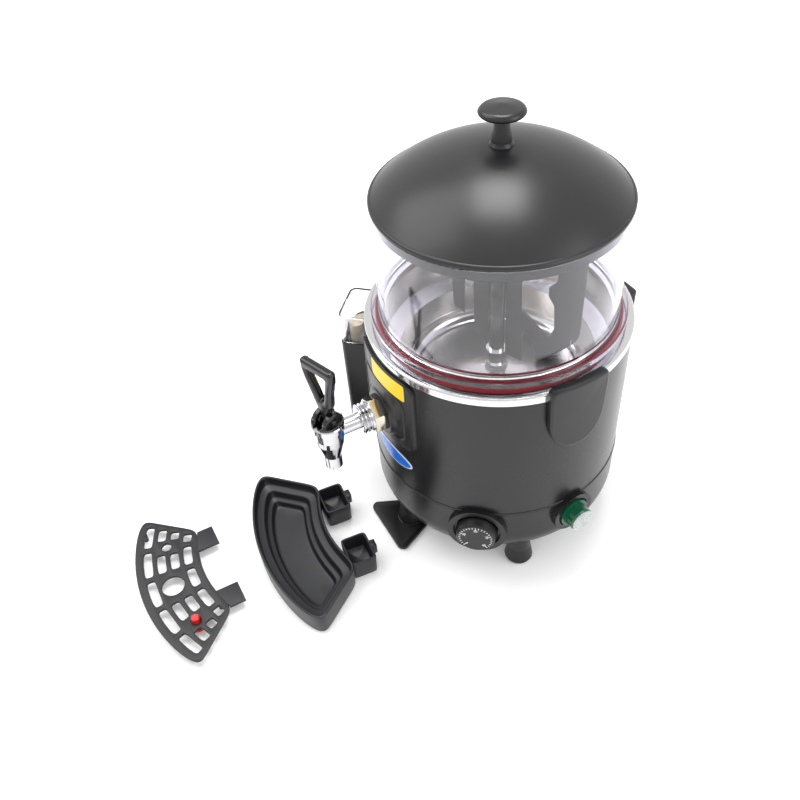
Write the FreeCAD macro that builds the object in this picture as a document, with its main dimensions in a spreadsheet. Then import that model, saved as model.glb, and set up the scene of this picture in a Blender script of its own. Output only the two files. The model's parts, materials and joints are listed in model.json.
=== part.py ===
import FreeCAD, Part
import math
import os
import Sketcher

# Hot chocolate dispenser: a heated water bath and steel bowl on a round base, a clear jar, a stirring
# paddle, a lever tap, and a drip tray and grille that stand in front of it.
# Frame: Z up, the floor at zero, the machine's axis through the origin, the tap towards -Y. Millimetres.

doc = FreeCAD.newDocument("ChocolateDispenser")
sheet = doc.addObject("Spreadsheet::Sheet", "Sizes")


class Size:
    # A number together with the spreadsheet expression that it comes from.
    def __init__(self, value, text):
        self.value = float(value)
        self.text = text

    def __add__(self, other):
        other = sized(other)
        return Size(self.value + other.value, "(%s + %s)" % (self.text, other.text))

    def __sub__(self, other):
        other = sized(other)
        return Size(self.value - other.value, "(%s - %s)" % (self.text, other.text))

    def __mul__(self, other):
        other = sized(other)
        return Size(self.value * other.value, "(%s * %s)" % (self.text, other.text))

    def __truediv__(self, other):
        other = sized(other)
        return Size(self.value / other.value, "(%s / %s)" % (self.text, other.text))

    def __radd__(self, other):
        return sized(other) + self

    def __rsub__(self, other):
        return sized(other) - self

    def __rmul__(self, other):
        return sized(other) * self

    def __rtruediv__(self, other):
        return sized(other) / self

    def __neg__(self):
        return Size(-self.value, "(0 - %s)" % self.text)


def sized(number):
    if isinstance(number, Size):
        return number
    return Size(number, "(%.6f)" % number if number < 0 else "%.6f" % number)


def cosine(angle):
    angle = sized(angle)
    return Size(math.cos(math.radians(angle.value)), "cos(%s)" % angle.text)


def sine(angle):
    angle = sized(angle)
    return Size(math.sin(math.radians(angle.value)), "sin(%s)" % angle.text)


def root(number):
    return Size(math.sqrt(number.value), "sqrt(%s)" % number.text)


class Sizes:
    # The driving dimensions, one spreadsheet row each: words in column A, the aliased number in B.
    def __init__(self, table):
        for row, (alias, (value, words)) in enumerate(table.items(), start=1):
            sheet.set("A%d" % row, words)
            sheet.set("B%d" % row, str(value))
            sheet.setAlias("B%d" % row, alias)
            setattr(self, alias, Size(value, "Sizes." + alias))
        doc.recompute()


s = Sizes({
    "wall": (2.5, "wall of the plastic housings"),
    "sheetWall": (1.2, "wall of the steel sheet pieces"),
    "gap": (0.3, "clearance between pieces that lift or turn"),
    "fit": (0.05, "radial running fit of a shaft in its hole"),
    "bodyRadius": (134, "outside radius of the black body"),
    "jointHeight": (100, "height of the joint between base and body"),
    "shellTop": (258, "height of the body's upper edge"),
    "baseBottom": (24, "height of the base's underside"),
    "baseRound": (40, "radius of the base's lower edge"),
    "rimHeight": (9, "height of the polished rim band"),
    "bowlRadius": (117, "inside radius of the bowl at its mouth"),
    "ledgeRadius": (101, "inside radius of the bowl under its ledge"),
    "ledgeHeight": (228, "height of the bowl's ledge"),
    "bowlBottom": (180, "height of the bowl's floor"),
    "bowlRound": (14, "radius between the bowl's wall and floor"),
    "bathRadius": (127, "outside radius of the water bath"),
    "bathBottom": (146, "height of the water bath's underside"),
    "plateThickness": (2, "thickness of the chassis plate"),
    "chassisHeight": (104, "height of the chassis plate's underside"),
    "jarRadius": (118.5, "outside radius of the clear jar"),
    "jarWall": (3, "wall of the clear jar"),
    "jarTop": (394, "height of the jar's upper edge"),
    "jarFlange": (127, "outside radius of the jar's foot flange"),
    "jarFoot": (6, "thickness of the jar's foot flange"),
    "gasketHeight": (5, "height of the jar gasket"),
    "gasketWidth": (8, "width of the jar gasket"),
    "lidRadius": (120, "outside radius of the lid"),
    "lidWall": (2.4, "wall of the lid"),
    "lidRise": (44, "rise of the lid's dome above its rim"),
    "lidLip": (5, "height of the lid's rim"),
    "lidSkirt": (12, "depth of the skirt inside the jar"),
    "knobStem": (8, "radius of the lid knob's stem"),
    "knobCap": (21, "radius of the lid knob's cap"),
    "knobTop": (480, "height of the lid knob's top"),
    "knobCapHeight": (11, "height of the lid knob's cap"),
    "legCircle": (113, "radius of the circle that the legs stand on"),
    "legRadius": (15.5, "radius of a leg at the foot"),
    "legWaist": (12.5, "radius of a leg at the base"),
    "legCount": (5, "number of legs"),
    "padHeight": (3, "height of a rubber foot pad"),
    "footPlateWide": (76, "width of the foot plate's front edge"),
    "footPlateNarrow": (42, "width of the foot plate's rear edge"),
    "footPlateFront": (148, "distance from the axis to the foot plate's front edge"),
    "footPlateRear": (100, "distance from the axis to the foot plate's rear edge"),
    "footPlateThickness": (4, "thickness of the foot plate"),
    "handleSpan": (58, "width of a side handle"),
    "handleTop": (276, "height of a side handle's top"),
    "handleTip": (195, "height of a side handle's tip"),
    "handleFace": (143, "distance from the axis to a side handle's face"),
    "handleWall": (3, "wall of a side handle"),
    "screwRadius": (2, "radius of a screw's shank"),
    "screwHead": (4, "radius of a screw's head"),
    "tapHeight": (190.6, "height of the tap's pipe"),
    "pipeRadius": (8.5, "radius of the tap's pipe"),
    "pipeBore": (5.5, "radius of the bore through the pipe"),
    "nutSpan": (34, "distance across the flats of the tap nut"),
    "nutHeight": (11, "height of the tap nut"),
    "collarRadius": (16, "radius of the ribbed collar"),
    "collarHeight": (12, "length of the ribbed collar"),
    "tapReach": (196, "distance from the axis to the tap's own axis"),
    "cupRadius": (17, "outside radius of the tap's cup"),
    "cupBore": (12.5, "radius of the bore in the tap's cup"),
    "cupTop": (206, "height of the tap cup's rim"),
    "spoutRadius": (9, "outside radius of the spout"),
    "spoutBore": (5.5, "radius of the spout's bore"),
    "spoutTip": (144, "height of the spout's tip"),
    "pinHeight": (210, "height of the lever's pin"),
    "pinRadius": (2, "radius of the lever's pin"),
    "leverTurn": (20, "turn of the bonnet and lever about the tap's axis, in degrees"),
    "leverTop": (280, "height of the lever's top bar"),
    "leverWidth": (40, "width of the lever's top bar"),
    "leverThick": (9, "thickness of the lever"),
    "plateWidth": (102, "width of the front plate"),
    "plateTop": (256, "height of the front plate's top"),
    "plateBottom": (166, "height of the front plate's bottom"),
    "plateProud": (3.5, "how far the front plate stands out of the body"),
    "dialTurn": (320, "direction of the thermostat dial from +X, in degrees"),
    "dialHeight": (77, "height of the thermostat dial"),
    "dialRadius": (22, "radius of the thermostat dial"),
    "dialDepth": (13, "thickness of the thermostat dial"),
    "dialHood": (31, "outside radius of the hood round the dial"),
    "hoodProud": (5, "how far a hood stands out of the body"),
    "buttonTurn": (4, "direction of the push button from +X, in degrees"),
    "buttonHeight": (82, "height of the push button"),
    "buttonRadius": (13.5, "radius of the push button's cap"),
    "buttonHood": (24, "outside radius of the hood round the button"),
    "buttonTravel": (3, "travel of the push button"),
    "boxTurn": (227, "direction of the water box from +X, in degrees"),
    "boxWidth": (52, "width of the water box"),
    "boxFace": (164, "distance from the axis to the water box's face"),
    "boxBottom": (90, "height of the water box's underside"),
    "boxTop": (215, "height of the water box's upper edge"),
    "boxCapTop": (250, "height of the clear cap's top"),
    "boxWall": (2, "wall of the water box and its cap"),
    "rearWidth": (76, "width of the rear cover"),
    "rearFace": (150, "distance from the axis to the rear cover's face"),
    "rearTop": (248, "height of the rear cover's top"),
    "rearBottom": (66, "height of the rear cover's bottom"),
    "spindleRadius": (4, "radius of the drive spindle"),
    "spindleTop": (206, "height of the drive spindle's top"),
    "tubeRadius": (8, "outside radius of the paddle's tube"),
    "paddleTop": (366, "height of the paddle's top"),
    "paddleBottom": (214, "height of the underside of the paddle's blades"),
    "paddleReach": (86, "distance from the axis to the blades' outer edge"),
    "paddleThick": (4, "thickness of a paddle blade"),
    "paddleTurn": (50, "direction of the first blade from +X, in degrees"),
    "heaterCircle": (84, "radius of the heating element's ring"),
    "heaterRadius": (4.5, "radius of the heating element's rod"),
    "heaterHeight": (163, "height of the heating element"),
    "trayInner": (138, "radius of the drip tray's inner edge"),
    "trayOuter": (218, "radius of the drip tray's outer edge"),
    "trayHalfAngle": (32, "half the angle that the drip tray spans"),
    "trayHeight": (30, "height of the drip tray"),
    "trayWall": (2.5, "wall of the drip tray"),
    "trayFloor": (10, "depth of the grille's seat below the tray's rim"),
    "trayCentreX": (-2.6, "sideways place of the tray's arc centre"),
    "trayCentreY": (-75.5, "fore and aft place of the tray's arc centre"),
    "trayTurn": (-4.7, "turn of the drip tray about its arc centre, in degrees"),
    "armWidth": (40, "width of a tray arm"),
    "armSpacing": (80, "distance between the tray arms' centres"),
    "armReach": (101, "distance from the arc centre to the arms' ends"),
    "grilleInner": (141, "radius of the grille's inner edge"),
    "grilleOuter": (213, "radius of the grille's outer edge"),
    "grilleHalfAngle": (30.5, "half the angle that the grille spans"),
    "grilleThick": (3.5, "thickness of the grille"),
    "grilleLift": (9, "height of the grille's underside above the floor"),
    "grilleCentreX": (-42, "sideways place of the grille's arc centre"),
    "grilleCentreY": (-213, "fore and aft place of the grille's arc centre"),
    "slotWidth": (10.5, "radial width of a grille slot"),
    "slotPitch": (15, "radial pitch of the grille's rows of slots"),
    "slotRows": (4, "number of rows of slots"),
    "tabWidth": (27, "width of a grille tab"),
    "tabSpacing": (88, "distance between the grille tabs' centres"),
    "tabReach": (113, "distance from the arc centre to the tabs' ends"),
    "floatRadius": (8, "radius of the red float"),
})

subparts = []


def piece(obj, label):
    # Takes an object as a finished piece, under the name that its file gets.
    obj.Label = label
    subparts.append(obj)
    return obj


def bind(obj, name, value):
    value = sized(value)
    setattr(obj, name, value.value)
    obj.setExpression(name, value.text)


def place(obj, x=0, y=0, z=0, turn=0, tilt=0):
    # Tilts an object about its own Y axis, turns it about Z and moves it to x, y, z.
    x, y, z, turn, tilt = [sized(v).text for v in (x, y, z, turn, tilt)]
    obj.setExpression("Placement", "placement(vector(%s; %s; %s); rotation(vector(0; 0; 1); %s)"
                      " * rotation(vector(0; 1; 0); %s))" % (x, y, z, turn, tilt))
    return obj


def radial(obj, turn, reach, z):
    # Points an object's own Z axis outwards from the machine's axis, its foot at that reach.
    return place(obj, reach * cosine(turn), reach * sine(turn), z, turn=turn, tilt=90)


def cylinder(name, radius, height, **where):
    obj = doc.addObject("Part::Cylinder", name)
    bind(obj, "Radius", radius)
    bind(obj, "Height", height)
    return place(obj, **where)


def cone(name, lower, upper, height, **where):
    obj = doc.addObject("Part::Cone", name)
    bind(obj, "Radius1", lower)
    bind(obj, "Radius2", upper)
    bind(obj, "Height", height)
    return place(obj, **where)


def block(name, x, y, z):
    # A box between two corners, each axis given as a pair of low and high.
    obj = doc.addObject("Part::Box", name)
    for size_name, (low, high) in zip(("Length", "Width", "Height"), (x, y, z)):
        bind(obj, size_name, sized(high) - sized(low))
    return place(obj, x[0], y[0], z[0])


def sector(name, radius, height, half_angle, z=0):
    # A slice of a disc, centred on -Y.
    obj = doc.addObject("Part::Cylinder", name)
    bind(obj, "Radius", radius)
    bind(obj, "Height", height)
    bind(obj, "Angle", 2 * sized(half_angle))
    return place(obj, z=z, turn=270 - sized(half_angle))


def cut(name, base, *tools):
    for number, tool in enumerate(tools):
        obj = doc.addObject("Part::Cut", "%s_cut%d" % (name, number))
        obj.Base = base
        obj.Tool = tool
        base = obj
    return base


def fuse(name, *shapes):
    obj = doc.addObject("Part::MultiFuse", name)
    obj.Shapes = list(shapes)
    obj.Refine = True
    return obj


def common(name, base, tool):
    obj = doc.addObject("Part::Common", name)
    obj.Base = base
    obj.Tool = tool
    return obj


def moved(name, obj, **where):
    # A finished shape, turned and moved as one.
    link = doc.addObject("Part::Compound", name)
    link.Links = [obj]
    return place(link, **where)


def arc_centre(start, end, bend):
    # The centre lies left of the way from start to end when the bend is positive.
    half_x = (end[0].value - start[0].value) / 2
    half_y = (end[1].value - start[1].value) / 2
    half = math.hypot(half_x, half_y)
    height = math.sqrt(max(bend.value ** 2 - half ** 2, 0.0)) * (1 if bend.value > 0 else -1)
    return FreeCAD.Vector(start[0].value + half_x - half_y / half * height,
                          start[1].value + half_y + half_x / half * height, 0)


def outline(sketch, corners):
    # A closed outline. A corner is (x, y), or (x, y, bend) when an arc of that radius leads to it.
    points = [tuple(sized(v) for v in corner) for corner in corners]
    rules = []
    for index, point in enumerate(points):
        before = points[index - 1]
        a = FreeCAD.Vector(before[0].value, before[1].value, 0)
        b = FreeCAD.Vector(point[0].value, point[1].value, 0)
        first, last = 1, 2
        if len(point) == 3:
            centre = arc_centre(before, point, point[2])
            radius = abs(point[2].value)
            begin = math.atan2(a.y - centre.y, a.x - centre.x)
            finish = math.atan2(b.y - centre.y, b.x - centre.x)
            if point[2].value < 0:
                begin, finish = finish, begin
                first, last = 2, 1
            circle = Part.Circle(centre, FreeCAD.Vector(0, 0, 1), radius)
            geo = sketch.addGeometry(Part.ArcOfCircle(circle, begin, finish))
            bend = point[2] if point[2].value > 0 else -point[2]
            rules.append((Sketcher.Constraint("Radius", geo, radius), bend))
        else:
            geo = sketch.addGeometry(Part.LineSegment(a, b))
        for kind, value, axis in (("DistanceX", point[0], -2), ("DistanceY", point[1], -1)):
            if abs(value.value) < 1e-9:
                rules.append((Sketcher.Constraint("PointOnObject", geo, last, axis), None))
            else:
                rules.append((Sketcher.Constraint(kind, geo, last, value.value), value))
        if index:
            rules.append((Sketcher.Constraint("Coincident", earlier, earlier_last, geo, first), None))
        else:
            opening = (geo, first)
        earlier, earlier_last = geo, last
    rules.append((Sketcher.Constraint("Coincident", earlier, earlier_last, *opening), None))
    for rule, value in rules:
        number = sketch.addConstraint(rule)
        if value is not None and "Sizes" in value.text:
            sketch.setExpression("Constraints[%d]" % number, value.text)


def sketched(name, plane, corners, *holes):
    body = doc.addObject("PartDesign::Body", name)
    sketch = body.newObject("Sketcher::SketchObject", name + "_sketch")
    origin_plane = next(f for f in body.Origin.OriginFeatures if f.Role == plane)
    sketch.AttachmentSupport = (origin_plane, [""])
    sketch.MapMode = "FlatFace"
    for loop in (corners,) + holes:
        outline(sketch, loop)
    return body, sketch


def revolved(name, corners, **where):
    # Turns a profile of (radius, height) corners about the Z axis.
    body, sketch = sketched(name, "XZ_Plane", corners)
    turned = body.newObject("PartDesign::Revolution", name + "_turned")
    turned.Profile = sketch
    turned.ReferenceAxis = (sketch, ["V_Axis"])
    turned.Angle = 360
    return place(body, **where)


def padded(name, plane, corners, thickness, *holes, **where):
    # Extrudes an outline to both sides of its plane.
    body, sketch = sketched(name, plane, corners, *holes)
    pad = body.newObject("PartDesign::Pad", name + "_pad")
    pad.Profile = sketch
    pad.SideType = "Symmetric"
    bind(pad, "Length", thickness)
    return place(body, **where)


def rounded(name, base, radius, chosen):
    # Rounds the edges that the test picks.
    doc.recompute()
    obj = doc.addObject("Part::Fillet", name)
    obj.Base = base
    obj.Edges = [(number, radius, radius) for number, edge in enumerate(base.Shape.Edges, start=1)
                 if chosen(edge)]
    return obj


def upright(edge):
    # Straight edges that run along Z.
    if not isinstance(edge.Curve, (Part.Line, Part.LineSegment)):
        return False
    return abs(edge.tangentAt(edge.FirstParameter).z) > 0.999


def ring(name, outer, inner, low, high):
    return revolved(name, [(inner, low), (outer, low), (outer, high), (inner, high)])


def box_corners(half_width, low, high, bend):
    # A rectangle with round corners, centred on the sketch's vertical axis.
    half_width, low, high, bend = [sized(v) for v in (half_width, low, high, bend)]
    return [(half_width - bend, low), (half_width, low + bend, bend),
            (half_width, high - bend), (half_width - bend, high, bend),
            (bend - half_width, high), (-half_width, high - bend, bend),
            (-half_width, low + bend), (bend - half_width, low, bend)]


# Heights that several pieces share.
rimTop = s.shellTop + s.rimHeight
bandRadius = s.bodyRadius + 0.6
gasketTop = rimTop + s.gasketHeight
jarBottom = gasketTop + s.gap
lidSeat = s.jarTop + s.gap
lidRim = lidSeat + s.lidLip
shellInner = s.bodyRadius - s.sheetWall
heaterEndX = sized(12)
heaterEndY = root(s.heaterCircle * s.heaterCircle - heaterEndX * heaterEndX)
dialBack = s.bodyRadius + s.hoodProud - 4
buttonBack = s.bodyRadius + s.hoodProud - 4


def make_base(leg_rooms):
    inner = s.bodyRadius - s.wall
    round_centre = s.bodyRadius - s.baseRound
    form = revolved("base_form", [
        (0, s.baseBottom), (round_centre, s.baseBottom),
        (s.bodyRadius, s.baseBottom + s.baseRound, s.baseRound), (s.bodyRadius, s.jointHeight),
        (0, s.jointHeight)])
    hollow = revolved("base_hollow", [
        (0, s.baseBottom + s.wall), (round_centre, s.baseBottom + s.wall),
        (inner, s.baseBottom + s.baseRound, s.baseRound - s.wall), (inner, s.jointHeight + 60),
        (0, s.jointHeight + 60)])
    hood_root = inner - 2
    dial_hood = radial(cylinder("dial_hood", s.dialHood, s.bodyRadius + s.hoodProud - hood_root),
                       s.dialTurn, hood_root, s.dialHeight)
    button_hood = radial(cylinder("button_hood", s.buttonHood, s.bodyRadius + s.hoodProud - hood_root),
                         s.buttonTurn, hood_root, s.buttonHeight)
    dial_well = radial(cylinder("dial_well", s.dialRadius + 3, 20), s.dialTurn, dialBack,
                       s.dialHeight)
    button_well = radial(cylinder("button_well", s.buttonRadius + 5, 20), s.buttonTurn, buttonBack,
                         s.buttonHeight)
    dial_hole = radial(cylinder("dial_hole", 4, 60), s.dialTurn, s.bodyRadius - 30, s.dialHeight)
    button_hole = radial(cylinder("button_hole", 11, 60), s.buttonTurn, s.bodyRadius - 30,
                         s.buttonHeight)
    outside = fuse("base_outside", form, dial_hood, button_hood)
    cord_hole = radial(cylinder("base_cord_hole", 6, 30), sized(90), s.bodyRadius - 20,
                       s.jointHeight - 22)
    piece(cut("base", outside, hollow, dial_well, button_well, dial_hole, button_hole, cord_hole,
              *leg_rooms), "base_housing")


def make_shell():
    lip = 6
    tube = revolved("shell_form", [
        (shellInner, s.jointHeight), (s.bodyRadius, s.jointHeight), (s.bodyRadius, s.shellTop),
        (shellInner - lip, s.shellTop), (shellInner - lip, s.shellTop - s.sheetWall),
        (shellInner, s.shellTop - s.sheetWall)])
    tap_hole = cylinder("shell_tap_hole", s.pipeRadius + 0.5, 60, y=-s.bodyRadius - 20,
                        z=s.tapHeight, turn=90, tilt=90)
    dial_notch = radial(cylinder("dial_notch", s.dialHood + 0.3, 40), s.dialTurn,
                        s.bodyRadius - 20, s.dialHeight)
    button_notch = radial(cylinder("button_notch", s.buttonHood + 0.3, 40), s.buttonTurn,
                          s.bodyRadius - 20, s.buttonHeight)
    water_holes = [radial(cylinder("water_hole%d" % n, 3.3, 60), s.boxTurn, s.bathRadius - 20, height)
                   for n, height in enumerate((s.boxTop - 10, s.boxBottom + 62))]
    piece(cut("shell", tube, tap_hole, dial_notch, button_notch, *water_holes), "body_shell")


def make_bowl():
    flange = s.bodyRadius - 6
    top = s.shellTop + 3
    w = s.sheetWall
    inside = [(s.bowlRadius, top), (s.bowlRadius, s.ledgeHeight), (s.ledgeRadius, s.ledgeHeight - 8),
              (s.ledgeRadius - 3, s.bowlBottom + s.bowlRound),
              (s.ledgeRadius - 3 - s.bowlRound, s.bowlBottom, -s.bowlRound)]
    outside = [(s.ledgeRadius - 3 - s.bowlRound, s.bowlBottom - w),
               (s.ledgeRadius - 3 + w, s.bowlBottom + s.bowlRound, s.bowlRound + w),
               (s.ledgeRadius + w, s.ledgeHeight - 8 - w), (s.bowlRadius + w, s.ledgeHeight - w),
               (s.bowlRadius + w, top - w), (flange, top - w), (flange, top)]
    hub = s.spindleRadius + 6
    # The flange, wall and floor, then a raised hub that carries the shaft seal.
    form = revolved("bowl_form", inside + [(hub + w, s.bowlBottom), (hub + w, s.bowlBottom + 8),
                                           (hub, s.bowlBottom + 8), (hub, s.bowlBottom - w)] + outside)
    outlet = cylinder("bowl_outlet", s.pipeRadius + s.fit, 40, y=-s.ledgeRadius - 20, z=s.tapHeight,
                      turn=90, tilt=90)
    piece(cut("bowl", form, outlet), "steel_bowl")
    seal = revolved("spindle_seal_form", [
        (s.spindleRadius + s.fit, s.bowlBottom - 6), (hub - s.fit, s.bowlBottom - 6),
        (hub - s.fit, s.bowlBottom + 8), (hub + 2, s.bowlBottom + 8 + s.gap),
        (hub - 2, s.bowlBottom + 11), (s.spindleRadius + s.fit, s.bowlBottom + 11)])
    piece(seal, "spindle_seal")
    # Polished band that caps the body and holds the bowl's flange.
    outer = bandRadius
    band = revolved("rim_band_form", [
        (outer, s.shellTop + 0.2), (outer, rimTop - 2), (outer - 2, rimTop, 2),
        (s.bowlRadius + 2, rimTop), (s.bowlRadius + 2, rimTop - w), (outer - 2 - w, rimTop - w),
        (outer - w, rimTop - 2 - w), (outer - w, s.shellTop + 0.2)])
    piece(band, "rim_band")


def make_bath():
    w = s.sheetWall
    form = revolved("bath_form", [
        (14, s.bathBottom), (s.bathRadius - 10, s.bathBottom), (s.bathRadius, s.bathBottom + 10, 10),
        (s.bathRadius, s.shellTop - w - 2), (s.bathRadius - w, s.shellTop - w - 2),
        (s.bathRadius - w, s.bathBottom + 10), (s.bathRadius - 10, s.bathBottom + w, -(10 - w)),
        (14 + w, s.bathBottom + w), (14 + w, s.bowlBottom - 3), (14, s.bowlBottom - 3)])
    outlet = cylinder("bath_outlet", s.pipeRadius + s.fit, 60, y=-s.bathRadius - 20, z=s.tapHeight,
                      turn=90, tilt=90)
    ports = [radial(cylinder("bath_port%d" % n, 3 + s.fit, 30), s.boxTurn, s.bathRadius - 15, height)
             for n, height in enumerate((s.boxTop - 10, s.boxBottom + 62))]
    ports += [cylinder("bath_gland%d" % n, s.heaterRadius + s.fit, 20, x=x, y=heaterEndY,
                       z=s.bathBottom - 8) for n, x in enumerate((-heaterEndX, heaterEndX))]
    piece(cut("bath", form, outlet, *ports), "water_bath")


def make_chassis():
    top = s.chassisHeight + s.plateThickness
    plate = cylinder("chassis_form", s.bodyRadius - s.wall - s.gap, s.plateThickness,
                     z=s.chassisHeight)
    centre_hole = cylinder("chassis_hole", 12, 20, z=s.chassisHeight - 5)
    piece(cut("chassis", plate, centre_hole), "chassis_plate")
    # Three pillars carry the bath above the chassis plate.
    pillars = [cylinder("pillar%d" % n, 6, s.bathBottom - top, x=90 * cosine(angle),
                        y=90 * sine(angle), z=top) for n, angle in enumerate((30, 150, 270))]
    piece(fuse("pillars", *pillars), "bath_pillars")
    base_plate = cylinder("base_plate_form", s.bodyRadius - s.baseRound, 1.5,
                          z=s.baseBottom + s.wall)
    piece(base_plate, "base_plate")
    sleeve_height = s.chassisHeight - s.baseBottom - s.wall - 1.5
    columns = [cylinder("column%d" % n, 5, sleeve_height, x=80 * cosine(angle), y=80 * sine(angle),
                        z=s.baseBottom + s.wall + 1.5) for n, angle in enumerate((90, 200, 290))]
    piece(fuse("columns", *columns), "chassis_columns")


def make_drive():
    under = s.chassisHeight
    box_low = under - 24
    gearbox = cylinder("gearbox_form", 28, 24, z=box_low)
    boss = cylinder("gearbox_boss", 10, 8, z=under)
    bore = cylinder("gearbox_bore", s.spindleRadius + s.fit, 40, z=box_low + 4)
    piece(cut("gearbox", fuse("gearbox_whole", gearbox, boss), bore), "gearbox")
    motor = revolved("motor_form", [
        (0, box_low - 34), (17, box_low - 34), (19, box_low - 32), (19, box_low - 2),
        (17, box_low), (0, box_low)], x=6)
    piece(motor, "drive_motor")
    tip = s.spindleTop
    shaft = cylinder("spindle_form", s.spindleRadius, tip - box_low - 6, z=box_low + 6)
    flat = block("spindle_flat", (2.5, 20), (-20, 20), (tip - 10, tip + 10))
    piece(cut("spindle", shaft, flat), "drive_spindle")
    sleeve = revolved("sleeve_form", [
        (s.spindleRadius + s.fit, s.bathBottom + 6), (14 - s.fit, s.bathBottom + 6),
        (14 - s.fit, s.bathBottom + 18), (s.spindleRadius + s.fit, s.bathBottom + 18)])
    piece(sleeve, "spindle_bearing")


def make_heater():
    body = doc.addObject("Part::Torus", "heater_ring")
    bind(body, "Radius1", s.heaterCircle)
    bind(body, "Radius2", s.heaterRadius)
    place(body, z=s.heaterHeight)
    gap_box = block("heater_gap", (-8, 8), (60, 110), (s.heaterHeight - 10, s.heaterHeight + 10))
    ends = [cylinder("heater_end%d" % n, s.heaterRadius, s.heaterHeight - s.bathBottom + 10,
                     x=x, y=heaterEndY, z=s.bathBottom - 10)
            for n, x in enumerate((-heaterEndX, heaterEndX))]
    whole = fuse("heater_whole", cut("heater_open", body, gap_box), *ends)
    piece(whole, "heating_element")


def make_gasket():
    outer = s.jarRadius + 4
    groove = 2
    piece(revolved("gasket_form", [
        (outer - s.gasketWidth, rimTop), (outer, rimTop), (outer, gasketTop - 1),
        (outer - 1, gasketTop), (outer - groove, gasketTop), (outer - groove - 1, gasketTop - 1),
        (outer - groove - 2, gasketTop), (outer - s.gasketWidth, gasketTop)]), "jar_gasket")


def make_jar():
    inside = s.jarRadius - s.jarWall
    foot = jarBottom + s.jarFoot
    piece(revolved("jar_form", [
        (inside - 2, jarBottom), (s.jarFlange - 1, jarBottom), (s.jarFlange, jarBottom + 1),
        (s.jarFlange, foot - 2), (s.jarFlange - 2, foot, 2), (s.jarRadius + 2, foot),
        (s.jarRadius, foot + 3, -3), (s.jarRadius, s.jarTop - 1), (s.jarRadius - 1, s.jarTop, 1),
        (inside, s.jarTop), (inside, foot + 4), (inside - 2, foot)]), "jar")


def make_lid():
    half = s.lidRadius - 3
    dome = (half * half + s.lidRise * s.lidRise) / (2 * s.lidRise)
    w = s.lidWall
    skirt = s.jarRadius - s.jarWall - 1
    top = lidRim + s.lidRise
    flat = s.knobStem
    peak = lidRim + s.lidRise - dome + root(dome * dome - flat * flat)
    under = lidRim + s.lidRise - dome + root((dome - w) * (dome - w) - flat * flat)
    inner_edge = skirt - w
    inner_height = lidRim + s.lidRise - dome + root((dome - w) * (dome - w) - inner_edge * inner_edge)
    form = revolved("lid_form", [
        (flat, under, dome - w), (flat, peak), (half, lidRim, -dome), (s.lidRadius, lidRim - 2, -3.2),
        (s.lidRadius, lidSeat + 1), (s.lidRadius - 1, lidSeat), (skirt, lidSeat),
        (skirt, lidSeat - s.lidSkirt), (inner_edge, lidSeat - s.lidSkirt),
        (inner_edge, inner_height)])
    piece(form, "lid")
    stem = s.knobStem
    cap_low = s.knobTop - s.knobCapHeight
    knob = revolved("knob_form", [
        (0, peak + s.gap), (stem + 3, peak + s.gap), (stem + 1, peak + 3), (stem - 1, cap_low - 3),
        (stem + 4, cap_low), (s.knobCap - 3, cap_low + 1), (s.knobCap, cap_low + 4, 4),
        (s.knobCap - 4, s.knobTop - 3, 6), (0, s.knobTop)])
    hole = cylinder("knob_hole", 2.6, 18, z=peak - 1)
    piece(cut("knob", knob, hole), "lid_knob")
    screw = fuse("lid_screw_form", cylinder("lid_screw_shank", 2.5, 18, z=under - 2),
                 cylinder("lid_screw_head", 9.5, 3, z=under - 5))
    piece(screw, "lid_screw")


def paddle_blade(name, turn):
    # One blade: a plate through the axis with tall windows and a slanted foot each side.
    reach, low, high = s.paddleReach, s.paddleBottom, s.paddleTop
    bar = 14
    foot = 26
    edge = [(-reach, low + foot), (-reach + bar, low + foot - 12), (-s.tubeRadius - 8, low),
            (s.tubeRadius + 8, low), (reach - bar, low + foot - 12), (reach, low + foot),
            (reach, high), (reach - bar, high), (reach - bar - 6, high - 12),
            (6 - (reach - bar), high - 12), (bar - reach, high), (-reach, high)]
    windows = []
    for side in (-1, 1):
        near = s.tubeRadius + 14
        far = reach - bar
        middle = low + 76
        for bottom_near, bottom_far, top in ((low + 22, low + 50, middle),
                                             (middle + 14, middle + 34, high - 28)):
            loop = [(near, bottom_near), (far, bottom_far), (far, top), (near, top)]
            windows.append([(side * x, y) for x, y in loop])
    return padded(name, "XZ_Plane", edge, s.paddleThick, *windows, turn=turn)


def make_paddle():
    low = s.bowlBottom + 13
    first = paddle_blade("blade_a", s.paddleTurn)
    second = paddle_blade("blade_b", s.paddleTurn + 90)
    sleeve = cylinder("paddle_sleeve", s.tubeRadius + 4, s.paddleTop - s.paddleBottom - 20,
                      z=s.paddleBottom)
    bore = cylinder("paddle_bore", s.tubeRadius, 300, z=low)
    piece(cut("paddle", fuse("paddle_whole", first, second, sleeve), bore), "mixer_paddle")
    tube = revolved("tube_form", [
        (s.spindleRadius + s.gap, low), (s.tubeRadius + 2, low), (s.tubeRadius + 2, low + 3),
        (s.tubeRadius, low + 5), (s.tubeRadius, s.paddleTop + 4), (0, s.paddleTop + 4),
        (0, s.spindleTop + s.gap), (s.spindleRadius + s.gap, s.spindleTop + s.gap)])
    collar = ring("tube_collar", s.tubeRadius + 3, s.tubeRadius - 1, s.paddleBottom - 7,
                  s.paddleBottom)
    piece(fuse("tube_whole", tube, collar), "mixer_tube")


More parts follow.
